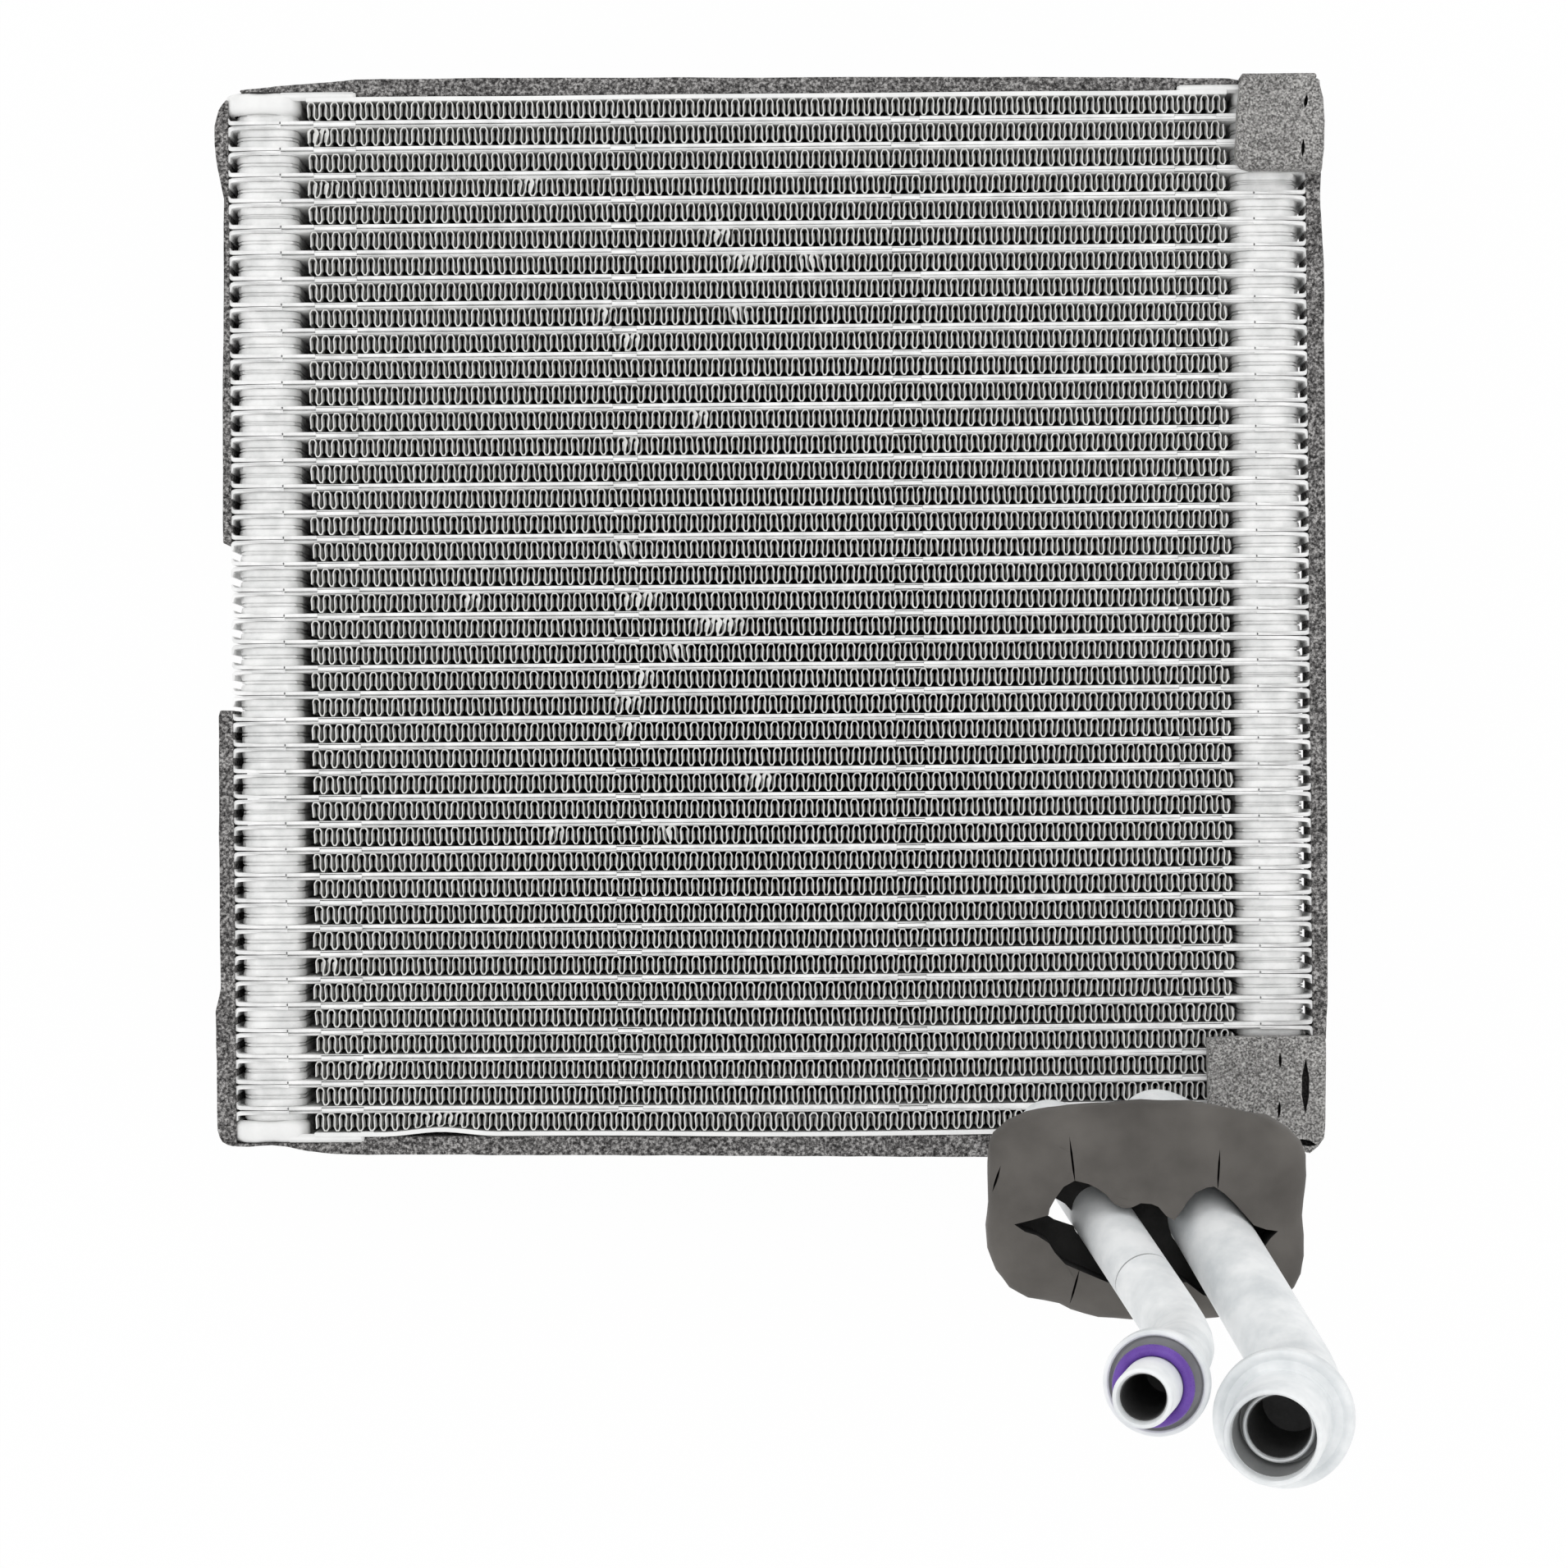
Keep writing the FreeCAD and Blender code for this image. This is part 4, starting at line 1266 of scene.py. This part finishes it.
TOP_PAD = CornerPad(
    "top_right",
    ((108.3, 105.0), (108.6, 103.2), (109.6, 101.8), (111.6, 101.1), (118.0, 101.0),
     (124.5, 100.9), (127.8, 100.2), (128.2, 101.2), (128.6, 106.0), (128.7, 112.0),
     (128.3, 117.5), (127.7, 120.2), (126.7, 122.0), (125.3, 123.1), (116.0, 122.9),
     (110.0, 122.6), (109.3, 121.6), (108.7, 114.0)),
    (((124.7, 118.3), (124.1, 115.0), 0.85), ((123.8, 108.1), (123.5, 103.7), 0.75)),
    (Bar((124.95, 128.1), (100.6, 122.6), (1.2, 39.0), 0.5),
     Bar((109.9, 127.4), (122.5, 123.8), (1.2, 39.0), 0.4)))
BOTTOM_PAD = CornerPad(
    "bottom_right",
    ((100.0, -99.2), (112.0, -98.9), (127.0, -99.0), (127.3, -100.6), (127.0, -118.0),
     (126.6, -122.4), (125.2, -124.4), (123.4, -125.9), (121.4, -125.4), (110.0, -124.6),
     (100.2, -124.5)),
    (((116.6, -102.6), (116.6, -106.2), 0.7), ((116.4, -113.8), (116.2, -117.8), 0.7),
     ((122.5, -103.9), (122.3, -117.0), 1.7), ((119.5, -122.9), (125.0, -124.0), 1.4)),
    (Bar((124.95, 126.8), (-123.5, -99.6), (1.2, 39.0), 0.5),
     Bar((114.2, 120.9), (-148.8, -124.0), (38.4, 42.2), 0.8)))


@dataclass(frozen=True)
class Fitting:
    """Turned pipe end: profile of radius and height above the flange's face, and its slant."""

    centre: Triple
    tilt: float
    lean: Pair
    slant: Pair
    profile: tuple[Pair, ...]

    def axis(self) -> Vector:
        """Direction of the pipe's last run."""
        tilt = math.radians(self.tilt)
        return Vector((-math.sin(tilt), 0, math.cos(tilt)))

    def seat(self) -> Matrix:
        """Place of the flange's face, which leans a little more than the pipe.

        Returns:
            Matrix that brings the turned profile there.
        """
        left, down = (math.tan(math.radians(angle)) for angle in self.lean)
        slanted = Matrix.Identity(4)
        slanted[0][2], slanted[1][2] = self.slant
        return facing(Vector((-left, -down, 1)), self.centre) @ slanted


def turned(bm: bmesh.types.BMesh, profile: Sequence[Pair], seat: Matrix, closed: bool,
           steps: int = 64) -> None:
    """Spin a profile about Z and bring it to its seat.

    Args:
        bm: Mesh that gets the turned shape.
        profile: Radius and height pairs.
        seat: Place of the axis and of height 0.
        closed: Whether the profile is a loop.
        steps: Facets round the axis.
    """
    chain = [bm.verts.new((radius, 0, height)) for radius, height in profile]
    pairs = list(zip(chain, chain[1:])) + ([(chain[-1], chain[0])] if closed else [])
    lines = [bm.edges.new(pair) for pair in pairs]
    bmesh.ops.spin(bm, geom=chain + lines, cent=(0, 0, 0), axis=(0, 0, 1), angle=2 * math.pi,
                   steps=steps, use_merge=True, use_duplicate=False)
    bmesh.ops.remove_doubles(bm, verts=bm.verts, dist=0.001)
    bmesh.ops.recalc_face_normals(bm, faces=bm.faces)
    bmesh.ops.transform(bm, matrix=seat, verts=bm.verts)


@dataclass
class BentPipe:
    """Drawn pipe from the connector block to its turned end, with a dark bore lining and a grey
    dish ring, both painted shade.
    """

    name: str
    node: str
    radius: float
    port: Triple
    elbow: Triple
    run: float
    bends: Pair
    bore: tuple[Pair, ...]
    end: Fitting
    dish: tuple[Pair, ...]
    joint: Optional[float] = None
    overlap: float = 4.0
    clearance: float = 0.1
    segments: int = 48
    facet: float = 0.12
    groove: tuple[Pair, ...] = ((0.06, 0.95), (0.36, 1.0), (0.06, 1 / 0.95))
    seam: tuple[Pair, ...] = ((-0.5, -0.36), (-0.06, -0.36), (-0.06, -0.12), (-0.5, -0.12))

    def corners(self) -> list[Vector]:
        """Corners of the route, as the solid has them.

        Returns:
            Port, elbow, last bend, and where the pipe ends in its flange.
        """
        axis = self.end.axis()
        flange = Vector(self.end.centre)
        return [Vector(self.port), Vector(self.elbow), flange - self.run * axis,
                flange - self.overlap * axis]

    def passage(self) -> bmesh.types.BMesh:
        """Round bar about the run between the bends, a little wider than the pipe.

        Returns:
            Mesh of the bar.
        """
        start, end = self.corners()[1:3]
        radius = self.radius + self.clearance
        bm = bmesh.new()
        bmesh.ops.create_cone(
            bm, cap_ends=True, segments=self.segments, radius1=radius, radius2=radius,
            depth=(end - start).length, matrix=facing(end - start, (start + end) / 2))
        return bm

    def build(self) -> None:
        """Build the pipe with its end, the dark lining of its bore and the grey ring in its dish,
        both painted shade.
        """
        bm = self.body()
        bmesh.ops.recalc_face_normals(bm, faces=bm.faces)
        whole = bmesh.new()
        turned(whole, self.end.profile, self.end.seat(), closed=False)
        body = to_mesh(bm, "pipe_body")
        whole.from_mesh(body)
        bpy.data.meshes.remove(body)
        make_piece(whole, self.name, PIPE, [self.node], crease=35)
        # Near-black lining down the bore: painted shade.
        lining = bmesh.new()
        turned(lining, self.bore, self.end.seat(), closed=False, steps=32)
        make_piece(lining, f"{self.name}_bore", BORE_SHADE)
        # Grey ring over the flange's dish: painted shade.
        dish = bmesh.new()
        turned(dish, self.dish, self.end.seat(), closed=True)
        make_piece(dish, f"{self.name}_dish", DISH_SHADE_AND_JOINT)

    def body(self) -> bmesh.types.BMesh:
        """Run a ring along the route and spin it through each bend.

        Returns:
            Mesh of the pipe without its end.
        """
        route = self.corners()
        here = route[0]
        bm = bmesh.new()
        rim = lines_of(bmesh.ops.create_circle(
            bm, cap_ends=False, radius=self.radius, segments=self.segments,
            matrix=facing((route[1] - here).normalized(), here))["verts"])
        for before, corner, after, bend in zip(route, route[1:], route[2:], self.bends):
            back = (before - corner).normalized()
            ahead = (after - corner).normalized()
            opening = back.angle(ahead)
            reach = bend / math.tan(opening / 2)
            start = corner + back * reach
            if self.joint and corner is route[2]:
                here, rim = self.crease(bm, rim, here, start)
            rim = self.draw(bm, rim, start - here)
            middle = corner + (back + ahead).normalized() * (bend / math.sin(opening / 2))
            spun = bmesh.ops.spin(
                bm, geom=rim + ends_of(rim), cent=middle,
                axis=(-back).cross(ahead).normalized(), angle=math.pi - opening,
                steps=max(4, int((math.pi - opening) / self.facet)), use_duplicate=False)
            rim = edges(spun["geom_last"])
            here = corner + ahead * reach
        self.draw(bm, rim, route[-1] - here)
        return bm

    def crease(self, bm: bmesh.types.BMesh, rim: list[bmesh.types.BMEdge], here: Vector,
               start: Vector) -> tuple[Vector, list[bmesh.types.BMEdge]]:
        """Draw the ring on to the joint, pinch a narrow groove there and lay a dark ring in it.

        Args:
            bm: Mesh that holds the ring.
            rim: Ring to draw from.
            here: Where the ring is.
            start: Where the straight stretch ends.

        Returns:
            Place and edges of the ring past the groove.
        """
        ahead = (start - here).normalized()
        for step, size in ((self.joint, 1.0), *self.groove):
            rim = self.draw(bm, rim, ahead * step)
            here = here + ahead * step
            bmesh.ops.scale(bm, vec=(size,) * 3, space=Matrix.Translation(-here),
                            verts=ends_of(rim))
        ring = bmesh.new()
        profile = [(self.radius + out, along) for out, along in self.seam]
        turned(ring, profile, facing(ahead, here), closed=True)
        make_piece(ring, f"{self.name}_joint", DISH_SHADE_AND_JOINT)
        return here, rim

    @staticmethod
    def draw(bm: bmesh.types.BMesh, rim: list[bmesh.types.BMEdge],
             move: Vector) -> list[bmesh.types.BMEdge]:
        """Draw a ring straight on.

        Args:
            bm: Mesh that holds the ring.
            rim: Ring to draw from.
            move: How far and which way.

        Returns:
            Edges of the new ring.
        """
        made = bmesh.ops.extrude_edge_only(bm, edges=rim)["geom"]
        bmesh.ops.translate(bm, vec=move, verts=vertices(made))
        return edges(made)


SUCTION = BentPipe(
    "suction_line", "suction_pipe", 7.94, (105.5, -130.5, 53.0), (81.6, -112.0, 53.0), 41.6,
    (10.5, 26.0), ((0, -12.8), (6.1, -12.8), (6.1, 4.2), (5.95, 4.2), (5.95, -12.6), (0, -12.6)),
    Fitting((97.0, -162.0, 196.0), 13.5, (11.2, 4.2), (-0.09, -0.06), (
        (0, -12.9), (6.15, -12.9), (6.15, 4.4), (6.3, 4.8), (6.55, 4.95), (6.8, 4.8), (6.95, 4.4),
        (6.95, 1.6), (7.2, 1.3), (7.8, 1.3), (8.1, 1.7), (8.1, 11.0), (8.3, 11.7), (8.7, 12.0),
        (9.15, 11.8), (9.45, 11.2), (9.5, -0.3), (9.9, -0.8), (11.4, -0.8), (12.1, -0.15),
        (12.5, 0), (13.0, 0), (13.35, -0.15), (13.5, -0.5), (13.5, -2.5), (13.35, -2.85),
        (13.0, -3.0), (9.7, -3.0), (9.44, -3.3), (9.44, -6.9), (9.2, -7.4), (7.9, -7.6))),
    ((7.0, 1.2), (8.15, 1.2), (8.15, 9.6), (8.02, 9.6), (7.95, 1.45), (7.0, 1.45)))
LIQUID = BentPipe(
    "liquid_line", "liquid_pipe", 6.35, (105.0, -147.4, 42.0), (58.2, -114.1, 51.0), 50.0,
    (11.5, 36.0), ((0, -12.8), (4.45, -12.8), (4.45, 12.4), (4.3, 12.4), (4.3, -12.6), (0, -12.6)),
    Fitting((72.5, -154.4, 199.0), 12.9, (13.6, 0.6), (-0.04, -0.04), (
        (0, -12.9), (4.5, -12.9), (4.5, 12.8), (4.7, 13.6), (4.95, 13.95), (5.3, 14.0),
        (5.6, 13.85), (5.75, 13.4), (5.8, 6.0), (5.8, 3.4), (5.6, 3.3), (5.6, 1.2), (6.0, 1.0),
        (6.05, -1.2), (6.4, -1.6), (8.6, -1.6), (9.0, -1.1), (9.15, -0.2), (9.4, 0), (9.9, 0),
        (10.15, -0.15), (10.25, -0.5), (10.25, -2.5), (10.1, -2.85), (9.8, -3.0), (8.1, -3.0),
        (7.85, -3.3), (7.85, -6.9), (7.6, -7.4), (6.3, -7.6))),
    ((5.9, -1.65), (5.9, -1.4), (8.5, -1.4), (8.9, -1.0), (9.05, -0.5), (9.3, -0.5),
     (9.2, -1.15), (8.7, -1.65)), joint=67.2)


@dataclass
class ORing:
    """Ring in the groove of the smaller pipe's nose."""

    radius: float = 6.8
    cord: float = 1.15
    height: float = 2.25
    sides: int = 16

    def build(self) -> None:
        """Spin a round cord about the nose."""
        bm = bmesh.new()
        angles = (math.tau * step / self.sides for step in range(self.sides))
        section = [(self.radius + self.cord * math.cos(a), self.height + self.cord * math.sin(a))
                   for a in angles]
        turned(bm, section, LIQUID.end.seat(), closed=True)
        make_piece(bm, "sealing_ring", RING, ["o_ring"])


@dataclass
class SealPad:
    """Moulded pad that both pipes pass through, with a rolled rim, a recess and slits."""

    depth: Pair = (98.0, 112.0)
    outline: tuple[Pair, ...] = (
        (47.0, -114.9), (50.2, -112.3), (54.4, -110.7), (58.9, -109.8), (63.4, -109.2),
        (69.7, -108.7), (78.9, -108.4), (88.9, -108.7), (95.5, -109.4), (101.0, -110.6),
        (106.0, -111.9), (109.9, -114.4), (112.5, -117.1), (113.5, -119.9), (113.4, -124.3),
        (112.6, -129.4), (112.3, -132.8), (112.8, -136.8), (113.1, -141.4), (112.6, -145.3),
        (111.1, -148.3),
        (107.4, -151.8), (101.2, -154.1), (94.1, -154.9), (83.6, -154.9), (75.6, -154.5),
        (69.0, -154.1), (63.1, -152.5), (60.6, -151.4), (54.0, -149.9), (50.1, -147.6),
        (47.2, -143.9), (45.8, -139.8), (45.3, -134.8), (45.8, -129.8), (45.9, -123.7),
        (45.9, -119.4), (46.1, -117.0))
    opening: tuple[Pair, ...] = (
        (63.9, -124.6), (61.5, -125.9), (59.8, -128.2), (58.5, -130.5), (58.2, -131.9),
        (54.7, -132.9), (50.9, -133.8), (53.2, -135.4), (55.7, -136.2), (58.3, -137.9),
        (59.5, -139.9), (61.7, -142.4), (64.4, -143.6), (73.0, -147.3), (83.0, -147.0),
        (87.4, -146.4), (91.0, -149.2), (97.0, -150.2), (102.0, -147.0), (104.1, -139.0),
        (105.4, -137.2), (107.0, -135.7), (104.4, -135.3), (101.9, -134.4), (100.1, -132.3),
        (98.1, -130.0), (95.8, -127.7), (93.5, -126.1), (91.9, -126.3), (89.5, -127.4),
        (87.5, -129.6), (87.0, -130.6), (85.0, -133.2), (83.3, -132.3), (81.6, -130.3),
        (80.1, -129.7), (77.9, -129.5), (76.0, -130.4), (74.0, -130.5), (72.1, -129.5),
        (70.6, -127.7), (68.7, -126.3), (66.7, -125.3))
    slits: tuple[tuple[Pair, Pair], ...] = (
        ((62.8, -115.1), (64.0, -125.6)), ((94.8, -118.0), (94.2, -127.2)),
        ((64.8, -143.2), (62.6, -151.1)), ((48.2, -121.3), (46.4, -127.2)))
    gap: tuple[Pair, ...] = (
        (60.3, -129.5), (59.1, -131.1), (58.9, -133.4), (60.3, -134.3), (63.8, -135.5),
        (66.5, -136.2), (64.8, -133.2), (62.6, -130.8))
    web: float = 1.5
    slit_width: float = 0.45
    slit_depth: float = 6.0
    roll: float = 4.4
    past: Pair = (1.0, 2.0)
    facets: Triple = (10.0, 6.0, 3.5)
    bumps: float = 0.6
    pits: float = 0.05

    def build(self) -> None:
        """Push the outline out, roll its rims, carve the recess, the passages and the slits."""
        bm = bmesh.new()
        prism(bm, self.outline, self.depth)
        flat = [e for e in bm.edges if abs(e.verts[0].co.z - e.verts[1].co.z) < 0.01]
        soften(bm, flat, self.roll, 5)
        (back, front), (behind, ahead) = self.depth, self.past
        recess, gap, slits = bmesh.new(), bmesh.new(), bmesh.new()
        prism(recess, self.opening, (back + self.web, front + ahead))
        prism(gap, self.gap, (back - behind, back + self.web + behind))
        for slit in self.slits:
            prism(slits, lens(*slit, self.slit_width), (front - self.slit_depth, front + ahead))
        for cutter in (recess, gap, SUCTION.passage(), LIQUID.passage(), slits):
            bm = carved(bm, cutter)
        for limit in self.facets:
            bmesh.ops.triangulate(bm, faces=[f for f in bm.faces if len(f.verts) > 4])
            bmesh.ops.subdivide_edges(
                bm, edges=[e for e in bm.edges if e.calc_length() > limit], cuts=1)
        bmesh.ops.triangulate(bm, faces=[f for f in bm.faces if len(f.verts) > 4])
        roughened(bm, self.bumps, self.pits)
        # The carved faces get a near-black finish: painted shade in the recess, passages and
        # slits.
        make_piece(bm, "seal_cushion", SEAL, ["seal_pad"], crease=50, inside=CUT_SHADE)


def combine(tree: bpy.types.NodeTree, operation: str, first: bpy.types.NodeSocket,
            second: bpy.types.NodeSocket) -> bpy.types.NodeSocket:
    """Work one value out of two.

    Args:
        tree: Tree that gets the node.
        operation: What is worked out.
        first: First value.
        second: Second value.

    Returns:
        Socket with the result.
    """
    node = tree.nodes.new("ShaderNodeMath")
    node.operation = operation
    tree.links.new(first, node.inputs[0])
    tree.links.new(second, node.inputs[1])
    return node.outputs[0]


def seen_directly(tree: bpy.types.NodeTree) -> bpy.types.NodeSocket:
    """Tell the rays that show a surface from those that light the core.

    Args:
        tree: Tree that gets the nodes.

    Returns:
        Socket with 1 for rays from the camera, from mirrors and through glass.
    """
    path = tree.nodes.new("ShaderNodeLightPath").outputs
    mirrored = combine(tree, "MAXIMUM", path["Is Camera Ray"], path["Is Glossy Ray"])
    return combine(tree, "MAXIMUM", mirrored, path["Is Transmission Ray"])


@dataclass(frozen=True)
class Lamp:
    """Soft square lamp: its place, aim and side in metres, and its power in watts."""

    name: str
    place: Triple
    aim: Triple
    size: float
    power: float

    def build(self) -> None:
        """Hang the lamp and aim it."""
        data = bpy.data.lights.new(self.name, "AREA")
        data.size = self.size
        data.energy = self.power
        lamp = bpy.data.objects.new(self.name, data)
        lamp.location = self.place
        heading = Vector(self.aim) - Vector(self.place)
        lamp.rotation_euler = heading.to_track_quat("-Z", "Y").to_euler()
        bpy.context.scene.collection.objects.link(lamp)


@dataclass
class Studio:
    """Camera above the lying core, a plain pale floor and soft light."""

    eye: Triple = (2.76, -39.75, 938.0)
    roll: float = -0.48
    lens: float = 89.2
    film: float = 36.0
    nearest: float = 0.05
    surroundings: float = 0.72
    floor_height: float = -0.4
    floor_reach: float = 3.0
    floor_tone: float = 0.9
    floor_glow: float = 0.97
    footprint: tuple[Pair, Pair] = ((-124.0, 124.0), (-121.0, 121.0))
    lamps: tuple[Lamp, ...] = (
        Lamp("overhead", (-0.2, 0.3, 1.6), (0.0, 0.0, 0.0), 1.2, 4.0),
        Lamp("left", (-1.2, 0.0, 0.55), (-0.06, 0.0, 0.03), 0.9, 2.0),
        Lamp("right", (1.2, 0.0, 0.55), (0.06, 0.0, 0.03), 0.9, 2.0),
        Lamp("far", (0.0, 1.2, 0.55), (0.0, 0.06, 0.03), 0.9, 2.0),
        Lamp("near", (0.0, -1.3, 0.55), (0.0, -0.065, 0.03), 0.9, 2.0))

    def camera(self) -> None:
        """Camera that looks straight down on the core."""
        data = bpy.data.cameras.new("view")
        data.lens = self.lens
        data.sensor_width = self.film
        data.clip_start = self.nearest
        eye = bpy.data.objects.new("view", data)
        eye.location = Vector(self.eye) * MM
        eye.rotation_euler = (0, 0, math.radians(self.roll))
        bpy.context.scene.collection.objects.link(eye)
        bpy.context.scene.camera = eye

    def world(self) -> None:
        """White surroundings that light the core softly."""
        world = bpy.data.worlds.new("surroundings")
        world.use_nodes = True
        bpy.context.scene.world = world
        tree = world.node_tree
        mix = tree.nodes.new("ShaderNodeMixShader")
        tree.links.new(seen_directly(tree), mix.inputs[0])
        soft, plain = tree.nodes["Background"], tree.nodes.new("ShaderNodeBackground")
        for number, (shade, strength) in enumerate(((soft, self.surroundings), (plain, 1.0))):
            shade.inputs["Color"].default_value = (1, 1, 1, 1)
            shade.inputs["Strength"].default_value = strength
            tree.links.new(shade.outputs[0], mix.inputs[number + 1])
        tree.links.new(mix.outputs[0], tree.nodes["World Output"].inputs["Surface"])

    def floor(self) -> None:
        """Pale floor under the core, evenly white where it is seen directly."""
        bm = bmesh.new()
        bmesh.ops.create_grid(bm, x_segments=1, y_segments=1, size=self.floor_reach)
        bmesh.ops.translate(bm, vec=(0, 0, self.floor_height * MM), verts=bm.verts)
        mesh = to_mesh(bm, "floor")
        recipe = Recipe("floor_paint")
        recipe.shader.inputs["Base Color"].default_value = (*(self.floor_tone,) * 3, 1)
        recipe.shader.inputs["Roughness"].default_value = 0.9
        mix = recipe.add("ShaderNodeMixShader")
        share = combine(recipe.tree, "MULTIPLY", seen_directly(recipe.tree),
                        self.outside(recipe))
        recipe.join(share, mix.inputs[0])
        recipe.join(recipe.shader.outputs[0], mix.inputs[1])
        recipe.join(recipe.add("ShaderNodeEmission").outputs[0], mix.inputs[2])
        recipe.join(mix.outputs[0], recipe.tree.nodes["Material Output"].inputs["Surface"])
        mesh.materials.append(recipe.material)
        floor = bpy.data.objects.new("floor", mesh)
        bpy.context.scene.collection.objects.link(floor)

    def outside(self, recipe: Recipe) -> bpy.types.NodeSocket:
        """Tell the floor under the core from the floor around it.

        Args:
            recipe: Node graph of the floor.

        Returns:
            Socket with the floor's glow away from the core's footprint and 0 inside it.
        """
        split = recipe.add("ShaderNodeSeparateXYZ")
        recipe.join(recipe.place, split.inputs[0])
        tests = []
        for source, (low, high) in zip(split.outputs, self.footprint):
            test = recipe.add("ShaderNodeMath")
            test.operation = "COMPARE"
            recipe.join(source, test.inputs[0])
            test.inputs[1].default_value = (low + high) / 2
            test.inputs[2].default_value = (high - low) / 2
            tests.append(test.outputs[0])
        inside = combine(recipe.tree, "MULTIPLY", *tests)
        return recipe.band(inside, (0.0, self.floor_glow), (1.0, 0.0))

    def build(self) -> None:
        """Set up the view."""
        bpy.context.scene.view_settings.view_transform = "Standard"
        self.camera()
        self.world()
        self.floor()
        for lamp in self.lamps:
            lamp.build()


def dress_block() -> None:
    """Give the connector block its milled finish."""
    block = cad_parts["connector_block"]
    block.data.materials.clear()
    block.data.materials.append(material_of(BLOCK))
    LOG.info("connector_block: milled finish")


def main() -> None:
    """Build the pieces of the core in order, then the studio."""
    logging.basicConfig(level=logging.INFO, format="%(name)s %(message)s")
    steps: tuple[Callable[[], None], ...] = (
        StampedTubes().build, FinBank().build, EndSheets().build, FoamTapes().build,
        TOP_PAD.build, BOTTOM_PAD.build, SealPad().build, SUCTION.build, LIQUID.build,
        ORing().build, dress_block, Studio().build)
    for step in steps:
        step()


if __name__ == "__main__":
    main()
